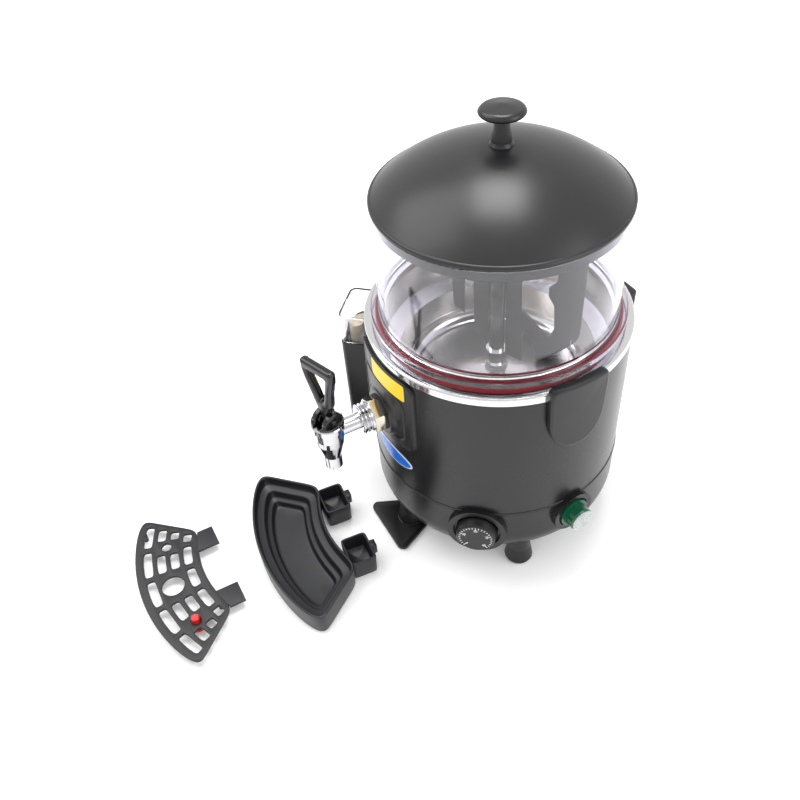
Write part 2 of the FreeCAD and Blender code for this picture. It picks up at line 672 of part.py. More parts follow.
def make_front_plate():
    middle = (s.plateBottom + s.plateTop) / 2
    window = padded("front_plate_window", "XZ_Plane",
                    box_corners(s.plateWidth / 2, s.plateBottom, s.plateTop, 12), 300,
                    y=-(s.bodyRadius + 20))
    skin = ring("front_plate_skin", s.bodyRadius + s.plateProud, s.bodyRadius, s.plateBottom - 5,
                s.plateTop + 5)
    half = block("front_plate_half", (-200, 200), (-200, 0), (s.plateBottom - 9, s.plateTop + 9))
    sheet_part = common("front_plate_sheet", common("front_plate_front", skin, half), window)
    dish = cone("front_plate_dish", 34, 24, 8, y=-(s.bodyRadius - 3), z=s.tapHeight, turn=270,
                tilt=90)
    hole = cylinder("front_plate_hole", s.pipeRadius + 0.5, 40, y=-(s.bodyRadius - 15),
                    z=s.tapHeight, turn=270, tilt=90)
    inside = cylinder("front_plate_inside", s.bodyRadius, 200, z=s.plateBottom - 50)
    piece(cut("front_plate", fuse("front_plate_whole", sheet_part, dish), inside, hole),
          "front_plate")


def along_tap(obj, start):
    # Lays an object's own Z axis along the tap's pipe, from that distance outwards.
    return place(obj, y=-start, z=s.tapHeight, turn=270, tilt=90)


def make_tap():
    plate_face = s.bodyRadius + 5
    nut_start = plate_face + 1.5
    collar_start = nut_start + s.nutHeight
    pipe_start = s.ledgeRadius - 8
    tap_y = -s.tapReach
    washer = along_tap(ring("tap_washer_form", 19.5, s.pipeRadius + s.fit, sized(0), sized(1.5)),
                       plate_face)
    piece(washer, "tap_washer")
    flat = s.nutSpan / 2
    corner = s.nutSpan / math.sqrt(3)
    hexagon = [(corner * cosine(60 * n), corner * sine(60 * n)) for n in range(6)]
    nut = padded("tap_nut_hex", "XY_Plane", hexagon, 2 * s.nutHeight)
    chamfered = common("tap_nut_chamfered", nut, revolved("tap_nut_cone", [
        (0, 0), (flat + 1, 0), (corner, 2), (corner, s.nutHeight - 2), (flat + 1, s.nutHeight),
        (0, s.nutHeight)]))
    bore = cylinder("tap_nut_bore", s.pipeRadius + s.fit, 100, z=-50)
    piece(along_tap(moved("tap_nut_placed", cut("tap_nut", chamfered, bore)), nut_start), "tap_nut")
    # The ribbed collar: three rings round the pipe.
    ribs = [(s.pipeRadius + s.fit, 0), (s.collarRadius, 0)]
    for n in range(3):
        start = n * s.collarHeight / 3
        ribs += [(s.collarRadius, start + 2.2), (s.collarRadius - 2, start + 2.7),
                 (s.collarRadius - 2, start + 3.6)]
    ribs += [(s.collarRadius - 3, s.collarHeight), (s.pipeRadius + s.fit, s.collarHeight)]
    piece(along_tap(revolved("tap_collar_form", ribs), collar_start), "tap_collar")
    # Body: cup, cone and spout with the pipe that runs back into the bowl.
    top, tip = s.cupTop, s.spoutTip
    cup = revolved("tap_cup", [
        (0, tip), (s.spoutRadius, tip), (s.spoutRadius, tip + 15), (s.cupRadius - 3, s.tapHeight - 12),
        (s.cupRadius - 2, s.tapHeight - 4), (s.cupRadius - 2, top - 9), (s.cupRadius, top - 7),
        (s.cupRadius, top - 1), (s.cupRadius - 1, top), (0, top)], y=tap_y)
    pipe = along_tap(cylinder("tap_pipe", s.pipeRadius, s.tapReach - pipe_start), pipe_start)
    pipe_bore = along_tap(cylinder("tap_pipe_bore", s.pipeBore, s.tapReach - pipe_start + 10),
                          pipe_start - 10)
    seat = s.tapHeight - 14
    cavity = revolved("tap_cavity", [
        (0, tip - 5), (s.spoutBore, tip - 5), (s.spoutBore, seat - 4), (s.cupBore - 4, seat + 2),
        (s.cupBore, seat + 6), (s.cupBore, top + 5), (0, top + 5)], y=tap_y)
    piece(cut("tap_body_cut", fuse("tap_body_whole", cup, pipe), cavity, pipe_bore), "tap_body")
    make_bonnet(seat)


def make_bonnet(seat):
    tap_y = -s.tapReach
    cheek = s.leverThick / 2 + s.gap
    lower = s.cupTop - 9
    ear = 11
    stem_radius = sized(2)
    base_form = revolved("bonnet_base", [
        (0, lower), (s.cupBore - s.fit, lower), (s.cupBore - s.fit, s.cupTop + s.gap),
        (s.cupRadius - 1, s.cupTop + s.gap), (s.cupRadius - 1, s.cupTop + 3), (0, s.cupTop + 3)])
    ears = padded("bonnet_ears", "YZ_Plane", [
        (-ear, s.cupTop), (ear, s.cupTop), (ear, s.pinHeight + 2),
        (-ear, s.pinHeight + 2, ear + 0.5)], 2 * (cheek + 5))
    ear_whole = fuse("bonnet_whole", base_form, ears)
    slot = block("bonnet_slot", (-cheek, cheek), (-30, 30), (s.cupTop - 5, s.cupTop + 60))
    stem_hole = cylinder("bonnet_stem_hole", stem_radius + s.fit, 60, z=lower - 20)
    pin_hole = cylinder("bonnet_pin_hole", s.pinRadius, 60, x=-30, z=s.pinHeight, tilt=90)
    bonnet = cut("bonnet", ear_whole, slot, stem_hole, pin_hole)
    piece(place(moved("bonnet_placed", bonnet), y=tap_y, turn=s.leverTurn), "tap_bonnet")
    pin = cylinder("lever_pin_form", s.pinRadius, 2 * (cheek + 5) + 1, x=-(cheek + 5.5),
                   z=s.pinHeight, tilt=90)
    piece(place(moved("lever_pin_placed", pin), y=tap_y, turn=s.leverTurn), "lever_pin")
    # Lever: a hub round the pin, two legs and a top bar, with an open loop between them.
    wide = s.leverWidth / 2
    hub = 8
    neck = s.pinHeight + 16
    loop = padded("lever_loop", "XZ_Plane", [
        (-s.leverThick / 2, s.pinHeight), (s.leverThick / 2, s.pinHeight),
        (s.leverThick / 2, neck), (wide, s.leverTop - 11), (wide, s.leverTop - 3),
        (wide - 3, s.leverTop, 3), (3 - wide, s.leverTop), (-wide, s.leverTop - 3, 3),
        (-wide, s.leverTop - 11), (-s.leverThick / 2, neck)], s.leverThick,
        [(-2, neck + 12), (2, neck + 12), (wide - 8, s.leverTop - 12), (8 - wide, s.leverTop - 12)])
    hub_disc = cylinder("lever_hub", hub, s.leverThick, x=-s.leverThick / 2, z=s.pinHeight, tilt=90)
    pin_hole = cylinder("lever_pin_hole", s.pinRadius + s.fit, 60, x=-30, z=s.pinHeight, tilt=90)
    stem_slot = block("lever_stem_slot", (-stem_radius - s.gap, stem_radius + s.gap), (-12, 12),
                      (s.pinHeight - 9, s.pinHeight + 3))
    lever = cut("lever", fuse("lever_whole", loop, hub_disc), pin_hole, stem_slot)
    piece(place(moved("lever_placed", lever), y=tap_y, turn=s.leverTurn), "tap_lever")
    # Valve stem with the soft seat cup at its foot, and the spring that closes it.
    stem_top = s.pinHeight - hub - s.gap
    stem = fuse("stem_whole",
                cylinder("stem_rod", stem_radius, stem_top - seat - 8, z=seat + 8),
                cylinder("stem_collar", 5, 1.5, z=seat + 10))
    piece(place(moved("stem_placed", stem), y=tap_y), "valve_stem")
    cup_seat = revolved("seat_cup_form", [
        (0, seat - 2), (s.spoutBore - 0.5, seat - 2), (s.cupBore - 4.6, seat + 2.6),
        (s.cupBore - 4.6, seat + 8), (0, seat + 8)], y=tap_y)
    piece(cup_seat, "valve_seat")
    spring_low = seat + 11.5
    coils = 4
    pitch = (lower - spring_low - 1) / coils
    rings = [ring("spring_coil%d" % n, sized(5.5), sized(4.6), spring_low + n * pitch,
                  spring_low + n * pitch + 0.9) for n in range(coils + 1)]
    riser = block("spring_riser", (4.7, 5.4), (-0.4, 0.4),
                  (spring_low + 0.3, spring_low + coils * pitch + 0.5))
    piece(place(moved("spring_placed", fuse("spring", *rings, riser)), y=tap_y), "valve_spring")


def make_dial():
    face = 3
    knob = revolved("dial_form", [
        (0, 2), (s.dialRadius - 1, 2), (s.dialRadius, 3), (s.dialRadius - 1.5, s.dialDepth - 1.5),
        (s.dialRadius - 3, s.dialDepth), (0, s.dialDepth)])
    notches = []
    for n in range(24):
        notches.append(cylinder("dial_notch%d" % n, 0.7, s.dialDepth,
                                x=(s.dialRadius + 0.2) * cosine(15 * n),
                                y=(s.dialRadius + 0.2) * sine(15 * n), z=face + 2))
    grip = cut("dial_grip", knob, fuse("dial_notches", *notches),
               cylinder("dial_bore", 3, s.dialDepth - 4, z=0))
    piece(radial(moved("dial_placed", grip), s.dialTurn, dialBack, s.dialHeight), "thermostat_dial")
    shaft = cylinder("dial_shaft_form", 3, 34)
    piece(radial(shaft, s.dialTurn, dialBack + s.dialDepth - 4 - 34, s.dialHeight),
          "thermostat_shaft")
    inside = s.bodyRadius - s.wall - 2
    body = cut("thermostat_whole", cylinder("thermostat_can", 14, 20, z=-20),
               cylinder("thermostat_bore", 3 + s.fit, 60, z=-16))
    piece(radial(moved("thermostat_placed", body), s.dialTurn, inside - 6, s.dialHeight),
          "thermostat")


def make_button():
    collar_out = 6
    cap = revolved("button_form", [
        (0, 1), (s.buttonRadius - 1, 1), (s.buttonRadius, 2), (s.buttonRadius, 13),
        (s.buttonRadius - 1.5, 15), (0, 15)])
    stalk = cylinder("button_stalk", 6, 30, z=-26)
    piece(radial(moved("button_placed", fuse("button_whole", cap, stalk)), s.buttonTurn,
                 buttonBack + s.buttonTravel, s.buttonHeight), "power_button")
    bezel = ring("bezel_form", s.buttonRadius + 3.5, s.buttonRadius + s.gap, sized(0.3),
                 sized(collar_out))
    piece(radial(bezel, s.buttonTurn, buttonBack, s.buttonHeight), "button_bezel")
    body = cut("switch_whole", cylinder("switch_can", 10.5, 34, z=-34),
               cylinder("switch_bore", 6 + s.gap, 60, z=-30))
    piece(radial(moved("switch_placed", body), s.buttonTurn, buttonBack - 1, s.buttonHeight),
          "power_switch")


def radial_box(name, half, reach, low, high, bend):
    # An upright box with round outer corners, pointing along its own +X.
    half, bend = sized(half), sized(bend)
    outline_points = [(s.bodyRadius - 14, -half), (reach - bend, -half), (reach, bend - half, bend),
                      (reach, half - bend), (reach - bend, half, bend), (s.bodyRadius - 14, half)]
    body, sketch = sketched(name, "XY_Plane", outline_points)
    pad = body.newObject("PartDesign::Pad", name + "_pad")
    pad.Profile = sketch
    bind(pad, "Length", high - low)
    return place(body, z=low)


def make_water_box():
    half = s.boxWidth / 2
    w = s.boxWall
    drum = cylinder("box_drum", s.bodyRadius + s.gap, 300, z=sized(40))
    outer = radial_box("box_outer", half, s.boxFace, s.boxBottom, s.boxTop, 6)
    inner = radial_box("box_inner", half - w, s.boxFace - w, s.boxBottom + w, s.boxTop + 9, 4)
    drum_wall = cylinder("box_drum_wall", s.bodyRadius + s.gap + w, 300, z=sized(40))
    room = cut("box_room", inner, drum_wall)
    ports = [cylinder("box_port%d" % n, 3 + s.fit, 60, x=s.bathRadius - 10, z=height, tilt=90)
             for n, height in enumerate((s.boxTop - 10, s.boxBottom + 62))]
    housing = cut("box_housing", outer, drum, room, *ports)
    piece(place(moved("box_placed", housing), turn=s.boxTurn), "water_box")
    tubes = []
    for n, height in enumerate((s.boxTop - 10, s.boxBottom + 62)):
        tubes.append(cut("link%d" % n,
                         cylinder("link_out%d" % n, 3, s.bodyRadius + w + 2 - s.bathRadius + 4,
                                  x=s.bathRadius - 4, z=height, tilt=90),
                         cylinder("link_in%d" % n, 2, 60, x=s.bathRadius - 10, z=height, tilt=90)))
    piece(place(moved("links_placed", fuse("links", *tubes)), turn=s.boxTurn), "water_links")
    cap_low = s.boxTop + s.gap
    cap_outer = radial_box("cap_outer", half, s.boxFace, cap_low, s.boxCapTop, 8)
    cap_inner = radial_box("cap_inner", half - w, s.boxFace - w, cap_low - 5, s.boxCapTop - w, 6)
    # The cap lifts past the rim band, which stands out of the body.
    band_drum = cylinder("cap_drum", bandRadius + s.gap, 300, z=sized(40))
    band_wall = cylinder("cap_drum_wall", bandRadius + s.gap + w, 300, z=sized(40))
    cap_room = cut("cap_room", cap_inner, band_wall)
    cap = cut("cap_whole", cap_outer, band_drum, cap_room)
    piece(place(moved("cap_placed", cap), turn=s.boxTurn), "box_cap")
    middle = (s.bodyRadius + s.boxFace) / 2 + 1
    float_form = fuse("water_float_whole",
                      cylinder("water_float_drum", 9, 26, x=middle, z=s.boxTop - 16),
                      cylinder("water_float_rod", 2, 70, x=middle, z=s.boxTop - 84))
    guide_height = 58
    piece(place(moved("water_float_placed", float_form), turn=s.boxTurn), "water_float")
    guide = cut("float_guide_whole",
                cylinder("float_guide_form", 5, guide_height, x=middle, z=s.boxBottom + w),
                cylinder("float_guide_bore", 2 + s.gap, guide_height, x=middle,
                         z=s.boxBottom + w + 3))
    piece(place(moved("float_guide_placed", guide), turn=s.boxTurn), "float_guide")


def make_rear_cover():
    half = s.rearWidth / 2
    w = s.wall
    drum = cylinder("rear_drum", s.bodyRadius + s.gap, 400)
    outer = radial_box("rear_outer", half, s.rearFace, s.rearBottom, s.rearTop, 6)
    inner = radial_box("rear_inner", half - w, s.rearFace - w, s.rearBottom + w, s.rearTop - w, 4)
    gland_hole = cylinder("rear_gland_hole", 5, 40, x=s.rearFace - 20, z=s.rearBottom + 40, tilt=90)
    vents = [block("vent%d" % n, (s.rearFace - 10, s.rearFace + 10), (-24, 24),
                   (s.rearTop - 30 - 9 * n, s.rearTop - 26 - 9 * n)) for n in range(6)]
    cover = cut("rear_cover_whole", outer, drum, inner, gland_hole, *vents)
    piece(place(moved("rear_cover_placed", cover), turn=90), "rear_cover")
    gland = revolved("gland_form", [
        (3.5, -6), (5 - s.fit, -6), (5 - s.fit, w + s.gap), (8, w + s.gap), (8, w + 5), (6, w + 9),
        (3.5, w + 9)])
    piece(radial(gland, sized(90), s.rearFace - w, s.rearBottom + 40), "cord_gland")


def make_handles():
    for label, turn in (("handle_right", sized(0)), ("handle_left", sized(180))):
        half = s.handleSpan / 2
        shield = padded(label + "_shield", "YZ_Plane", [
            (-10, s.handleTip), (10, s.handleTip), (half - 3, s.handleTip + 36, 60),
            (half, s.handleTop - 30, 90), (half, s.handleTop), (-half, s.handleTop),
            (-half, s.handleTop - 30), (3 - half, s.handleTip + 36, 90), (-10, s.handleTip, 60)][1:],
            80, x=s.bodyRadius)
        outer = revolved(label + "_drum", [
            (0, s.handleTip - 10), (s.handleFace - 8, s.handleTip - 10),
            (s.handleFace - 8, s.handleTip), (s.handleFace - 1, s.handleTip + 20),
            (s.handleFace, s.handleTop - 3), (s.handleFace - 3, s.handleTop, 3), (0, s.handleTop)])
        form = common(label + "_form", shield, outer)
        body_drum = cylinder(label + "_inside", s.bodyRadius + 0.6 + s.gap, 400)
        hollow = cut(label + "_hollow",
                     padded(label + "_hollow_form", "YZ_Plane",
                            box_corners(half - s.handleWall - 3, s.handleTip + 30,
                                        s.handleTop - s.handleWall, 4), 80, x=s.bodyRadius),
                     cylinder(label + "_core", s.bodyRadius - 50, 400))
        hollow_outer = common(label + "_hollow_cut", hollow,
                              cylinder(label + "_skin", s.handleFace - s.handleWall, 400))
        whole = cut(label + "_whole", form, body_drum, hollow_outer)
        piece(place(moved(label + "_placed", whole), turn=turn), label)


def make_legs():
    top = s.baseBottom - 2
    first = 270
    legs = []
    pads = []
    holes = []
    for n in range(int(s.legCount.value)):
        angle = first + n * 360 / s.legCount
        x, y = s.legCircle * cosine(angle), s.legCircle * sine(angle)
        legs.append(revolved("leg%d" % n, [
            (0, s.padHeight), (s.legRadius - 1, s.padHeight), (s.legRadius, s.padHeight + 2),
            (s.legWaist, top), (s.legWaist, top + 26), (0, top + 26)], x=x, y=y))
        pads.append(revolved("pad%d" % n, [
            (0, 0), (s.legRadius - 3, 0), (s.legRadius - 1.5, 1.5),
            (s.legRadius - 1.5, s.padHeight), (0, s.padHeight)], x=x, y=y))
        holes.append(cylinder("leg_room%d" % n, s.legWaist + s.gap, 60, x=x, y=y, z=0))
    return legs, pads, holes


def make_foot_plate():
    front, rear, thick = s.footPlateFront, s.footPlateRear, s.footPlateThickness
    bend = 8
    wide, narrow = s.footPlateWide / 2, s.footPlateNarrow / 2
    form = padded("foot_plate_form", "XY_Plane", [
        (narrow - 4, -rear), (narrow, -(rear + 4), -4), (wide, -(front - bend)),
        (wide - bend, -front, -bend), (bend - wide, -front), (-wide, -(front - bend), -bend),
        (-narrow, -(rear + 4)), (4 - narrow, -rear, -4)], thick, z=1 + thick / 2)
    hole = cylinder("foot_plate_hole", s.legRadius + s.gap, 40, y=-s.legCircle, z=-10)
    piece(cut("foot_plate_whole", form, hole), "foot_plate")


def tray_sector(name, inner, outer, half_angle, low, high, centre=None):
    big = sector(name + "_big", outer, sized(high) - sized(low), half_angle, z=low)
    small = cylinder(name + "_small", inner, 200, z=sized(low) - 50)
    return cut(name, big, small)


def make_tray():
    w = s.trayWall
    inner, outer, half = s.trayInner, s.trayOuter, s.trayHalfAngle
    seat = s.trayHeight - s.trayFloor
    outside = rounded("tray_rounded", tray_sector("tray_form", inner, outer, half, 0, s.trayHeight),
                      10, upright)
    upper = tray_sector("tray_upper", inner + w, outer - w, half - 0.8, seat, s.trayHeight + 5)
    lower = tray_sector("tray_lower", inner + w + 7, outer - w - 7, half - 3.5, w, s.trayHeight + 5)
    arms = []
    rooms = []
    for n, side in enumerate((-1, 1)):
        middle = side * s.armSpacing / 2
        low, high = middle - s.armWidth / 2, middle + s.armWidth / 2
        arms.append(block("arm%d" % n, (low, high), (-(inner + 6), -s.armReach), (4, s.trayHeight - 3)))
        rooms.append(block("arm_room%d" % n, (low + w + 2, high - w - 2),
                           (-(inner + 12), -(s.armReach + 12)), (seat, s.trayHeight + 5)))
        rooms.append(block("arm_under%d" % n, (low + w, high - w),
                           (-(inner - 4), -(s.armReach - 5)), (-5, seat - w)))
        hook = block("hook%d" % n, (middle - 12, middle + 12), (-(s.armReach + 1), -(s.armReach - 7)),
                     (seat - 6, seat + 4))
        arms.append(hook)
    core = cylinder("tray_core", s.armReach - 8, 200, z=-50)
    whole = cut("tray_whole", fuse("tray_joined", outside, *arms), upper, lower, *rooms)
    piece(place(moved("tray_placed", whole), s.trayCentreX, s.trayCentreY, turn=s.trayTurn),
          "drip_tray")


def make_grille():
    low = s.grilleLift
    high = low + s.grilleThick
    inner, outer, half = s.grilleInner, s.grilleOuter, s.grilleHalfAngle
    rim = 9
    bar = 4.5
    sheet_form = rounded("grille_rounded", tray_sector("grille_form", inner, outer, half, low, high),
                         12, upright)
    tabs = []
    for n, side in enumerate((-1, 1)):
        middle = side * s.tabSpacing / 2
        tabs.append(block("tab%d" % n, (middle - s.tabWidth / 2, middle + s.tabWidth / 2),
                          (-(inner + 8), -s.tabReach), (low, high)))
    rows = []
    for row in range(int(s.slotRows.value)):
        near = inner + 8 + row * s.slotPitch
        rows.append(tray_sector("slots%d" % row, near, near + s.slotWidth, half - 2.6, low - 5,
                                high + 5))
    spokes = []
    for n, angle in enumerate((-18, -6, 6, 18)):
        spoke = block("spoke%d" % n, (0, outer + 20), (-bar / 2, bar / 2), (low - 5, high + 5))
        spokes.append(place(moved("spoke_placed%d" % n, spoke), turn=270 + angle))
    ring_reach = inner + 36.5
    bosses = [cylinder("float_boss%d" % n, 9.5, 40, x=side * ring_reach * sine(18),
                       y=-ring_reach * cosine(18), z=low - 20) for n, side in enumerate((-1, 1))]
    middle_boss = cylinder("middle_boss", 17, 40, y=-ring_reach, z=low - 20)
    slots = cut("slots_cut", fuse("slots", *rows), fuse("spokes", *spokes, *bosses, middle_boss))
    middle_hole = cylinder("middle_hole", 13, 40, y=-ring_reach, z=low - 20)
    float_holes = [cylinder("float_hole%d" % n, 5.5, 40, x=side * ring_reach * sine(18),
                            y=-ring_reach * cosine(18), z=low - 20) for n, side in enumerate((-1, 1))]
    # Short feet under the outer corners and the tabs hold the sheet off the floor.
    feet = []
    for n, (reach, angle) in enumerate(((outer - 6, -25), (outer - 6, 25), (inner + 4, -18),
                                        (inner + 4, 18))):
        feet.append(cylinder("grille_foot%d" % n, 3, low + 1, x=reach * sine(angle),
                             y=-reach * cosine(angle), z=0))
    whole = cut("grille_whole", fuse("grille_joined", sheet_form, *tabs, *feet), slots, middle_hole,
                *float_holes)
    piece(place(moved("grille_placed", whole), s.grilleCentreX, s.grilleCentreY), "drip_grille")
    # The red float: a drum under the sheet and a pin that shows through its hole.
    float_form = revolved("red_float_form", [
        (0, 0.5), (s.floatRadius, 0.5), (s.floatRadius, low - 5), (3.5, low - 5), (3.5, high + 1),
        (4.5, high + 2), (4.5, high + 5), (3.5, high + 6), (0, high + 6)])
    piece(place(moved("red_float_placed", float_form),
                s.grilleCentreX + ring_reach * sine(18), s.grilleCentreY - ring_reach * cosine(18)),
          "red_float")


legs, pads, leg_rooms = make_legs()
make_base(leg_rooms)
piece(fuse("legs", *legs), "legs")
piece(fuse("pads", *pads), "foot_pads")
for make in (make_shell, make_bowl, make_bath, make_chassis, make_drive, make_heater, make_gasket,
             make_jar, make_lid, make_paddle, make_front_plate, make_tap, make_dial, make_button,
             make_water_box, make_rear_cover, make_handles, make_foot_plate, make_tray, make_grille):
    make()
    print(make.__name__)
doc.recompute()

os.makedirs("parts", exist_ok=True)
faults = [obj.Label for obj in doc.Objects if {"Invalid", "Error"} & set(obj.State)]
for obj in subparts:
    if obj.Shape.isNull() or not obj.Shape.isValid() or not obj.Shape.Solids:
        faults.append(obj.Label + " shape")
if faults:
    raise RuntimeError("failed: " + ", ".join(faults))
for obj in subparts:
    obj.Shape.exportStep("parts/%s.step" % obj.Label)
print(len(subparts), "pieces")
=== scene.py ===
import math

import bmesh
import bpy
import numpy as np
from mathutils import Matrix, Vector
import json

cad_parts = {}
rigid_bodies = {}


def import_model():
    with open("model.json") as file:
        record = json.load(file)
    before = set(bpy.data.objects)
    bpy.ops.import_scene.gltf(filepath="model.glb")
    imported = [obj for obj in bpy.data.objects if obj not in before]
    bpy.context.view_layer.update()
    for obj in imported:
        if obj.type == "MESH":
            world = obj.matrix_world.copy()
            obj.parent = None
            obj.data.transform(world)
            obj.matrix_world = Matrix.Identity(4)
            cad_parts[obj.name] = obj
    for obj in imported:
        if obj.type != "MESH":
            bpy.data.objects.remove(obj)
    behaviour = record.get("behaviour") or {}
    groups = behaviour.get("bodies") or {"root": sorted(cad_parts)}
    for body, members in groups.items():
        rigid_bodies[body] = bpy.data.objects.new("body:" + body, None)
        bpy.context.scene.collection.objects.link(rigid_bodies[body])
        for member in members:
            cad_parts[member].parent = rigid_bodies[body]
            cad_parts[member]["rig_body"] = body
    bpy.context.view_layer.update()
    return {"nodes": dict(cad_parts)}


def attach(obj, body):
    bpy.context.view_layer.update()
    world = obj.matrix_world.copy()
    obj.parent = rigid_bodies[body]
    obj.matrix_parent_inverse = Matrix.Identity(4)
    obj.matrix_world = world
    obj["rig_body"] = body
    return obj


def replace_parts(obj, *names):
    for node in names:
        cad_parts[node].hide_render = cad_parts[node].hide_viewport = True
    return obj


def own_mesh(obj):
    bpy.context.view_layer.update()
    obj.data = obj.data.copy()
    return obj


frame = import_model()
nodes = frame["nodes"]
deg = math.radians


def link(tree, source, target):
    tree.links.new(source, target)


def addNode(tree, kind, **values):
    # Adds a shader node and sets its properties and its inputs by name.
    node = tree.nodes.new(kind)
    for name, value in values.items():
        if hasattr(node, name):
            setattr(node, name, value)
        else:
            node.inputs[name.replace("_", " ")].default_value = value
    return node


def newGroup(name, inputs, outputs):
    # A shader group with named float, vector or colour sockets.
    kinds = {"float": "NodeSocketFloat", "vector": "NodeSocketVector", "colour": "NodeSocketColor"}
    group = bpy.data.node_groups.new(name, "ShaderNodeTree")
    for socketName, kind, value in inputs:
        socket = group.interface.new_socket(socketName, in_out="INPUT", socket_type=kinds[kind])
        socket.default_value = value
    for socketName, kind in outputs:
        group.interface.new_socket(socketName, in_out="OUTPUT", socket_type=kinds[kind])
    start = group.nodes.new("NodeGroupInput")
    end = group.nodes.new("NodeGroupOutput")
    return group, start, end


def addMath(tree, kind, *values):
    # A math node on sockets or plain numbers.
    node = addNode(tree, "ShaderNodeMath", operation=kind)
    for n, value in enumerate(values):
        if isinstance(value, (int, float)):
            node.inputs[n].default_value = value
        else:
            link(tree, value, node.inputs[n])
    return node.outputs[0]


def finishSurface(group, start, end, drift, relief, deep):
    # Roughness + Vary (drift - 0.5), and a bump of the given depth from the relief.
    swing = addMath(group, "SUBTRACT", drift, 0.5)
    rough = addMath(group, "MULTIPLY_ADD", swing, start.outputs["Vary"], start.outputs["Roughness"])
    link(group, rough, end.inputs["Roughness"])
    bump = addNode(group, "ShaderNodeBump", Distance=deep)
    link(group, start.outputs["Depth"], bump.inputs["Strength"])
    link(group, relief, bump.inputs["Height"])
    link(group, bump.outputs["Normal"], end.inputs["Normal"])


def makeMouldGrain():
    # Moulded surface: fine spark-erosion grain for the bump, and slow patches of wiped and
    # unwiped plastic for the roughness and the colour.
    group, start, end = newGroup("mouldGrain", [
        ("Colour", "colour", (0.02, 0.02, 0.02, 1)), ("Roughness", "float", 0.4),
        ("Vary", "float", 0.06), ("Grain", "float", 2600.0), ("Depth", "float", 0.12)],
        [("Colour", "colour"), ("Roughness", "float"), ("Normal", "vector")])
    place = addNode(group, "ShaderNodeTexCoord")
    fine = addNode(group, "ShaderNodeTexNoise", Detail=2.0, Roughness=0.55)
    link(group, place.outputs["Object"], fine.inputs["Vector"])
    link(group, start.outputs["Grain"], fine.inputs["Scale"])
    slow = addNode(group, "ShaderNodeTexNoise", Scale=14.0, Detail=5.0, Roughness=0.6)
    link(group, place.outputs["Object"], slow.inputs["Vector"])
    finishSurface(group, start, end, slow.outputs["Fac"], fine.outputs["Fac"], 0.00006)
    ramp = addNode(group, "ShaderNodeMapRange", From_Min=0.3, From_Max=0.7, To_Min=0.9, To_Max=1.12)
    link(group, slow.outputs["Fac"], ramp.inputs["Value"])
    tint = addNode(group, "ShaderNodeVectorMath", operation="SCALE")
    link(group, start.outputs["Colour"], tint.inputs[0])
    link(group, ramp.outputs["Result"], tint.inputs["Scale"])
    link(group, tint.outputs["Vector"], end.inputs["Colour"])
    return group


def makeTurnedLines():
    # Lines left by turning or brushing round the machine's axis: noise over reach and height,
    # stretched round the circle.
    group, start, end = newGroup("turnedLines", [
        ("Roughness", "float", 0.15), ("Vary", "float", 0.1), ("Lines", "float", 900.0),
        ("Depth", "float", 0.1)], [("Roughness", "float"), ("Normal", "vector")])
    place = addNode(group, "ShaderNodeTexCoord")
    split = addNode(group, "ShaderNodeSeparateXYZ")
    link(group, place.outputs["Object"], split.inputs[0])
    flat = addNode(group, "ShaderNodeCombineXYZ")
    link(group, split.outputs["X"], flat.inputs["X"])
    link(group, split.outputs["Y"], flat.inputs["Y"])
    reach = addNode(group, "ShaderNodeVectorMath", operation="LENGTH")
    link(group, flat.outputs[0], reach.inputs[0])
    across = addMath(group, "ADD", reach.outputs["Value"], split.outputs["Z"])
    stretched = addMath(group, "MULTIPLY", across, start.outputs["Lines"])
    joined = addNode(group, "ShaderNodeCombineXYZ")
    link(group, stretched, joined.inputs["X"])
    link(group, split.outputs["X"], joined.inputs["Y"])
    link(group, split.outputs["Y"], joined.inputs["Z"])
    lines = addNode(group, "ShaderNodeTexNoise", Scale=4.0, Detail=3.0)
    link(group, joined.outputs[0], lines.inputs["Vector"])
    finishSurface(group, start, end, lines.outputs["Fac"], lines.outputs["Fac"], 0.00004)
    return group


def makeClearWall():
    # Clear moulding: a slow haze in the roughness, and a tint where the wall is seen edge-on.
    group, start, end = newGroup("clearWall", [
        ("Colour", "colour", (1, 1, 1, 1)), ("Roughness", "float", 0.0), ("Haze", "float", 0.03)],
        [("Colour", "colour"), ("Roughness", "float")])
    place = addNode(group, "ShaderNodeTexCoord")
    slow = addNode(group, "ShaderNodeTexNoise", Scale=18.0, Detail=4.0)
    link(group, place.outputs["Object"], slow.inputs["Vector"])
    ramp = addNode(group, "ShaderNodeMapRange", From_Min=0.35, From_Max=0.75)
    link(group, slow.outputs["Fac"], ramp.inputs["Value"])
    link(group, start.outputs["Roughness"], ramp.inputs["To Min"])
    most = addMath(group, "ADD", start.outputs["Roughness"], start.outputs["Haze"])
    link(group, most, ramp.inputs["To Max"])
    link(group, ramp.outputs["Result"], end.inputs["Roughness"])
    edge = addNode(group, "ShaderNodeLayerWeight", Blend=0.35)
    tint = addNode(group, "ShaderNodeMix", data_type="RGBA")
    faceOn, edgeOn = tint.inputs[6], tint.inputs[7]
    faceOn.default_value = (0.995, 0.995, 1.0, 1)
    link(group, start.outputs["Colour"], edgeOn)
    link(group, edge.outputs["Facing"], tint.inputs[0])
    link(group, tint.outputs[2], end.inputs["Colour"])
    return group


mouldGrain = makeMouldGrain()
turnedLines = makeTurnedLines()
clearWall = makeClearWall()


def newMaterial(name, **sockets):
    # A Principled material with plain values on the shader's own sockets.
    material = bpy.data.materials.new(name)
    material.use_nodes = True
    shader = material.node_tree.nodes["Principled BSDF"]
    for socketName, value in sockets.items():
        shader.inputs[socketName.replace("_", " ")].default_value = value
    return material, shader


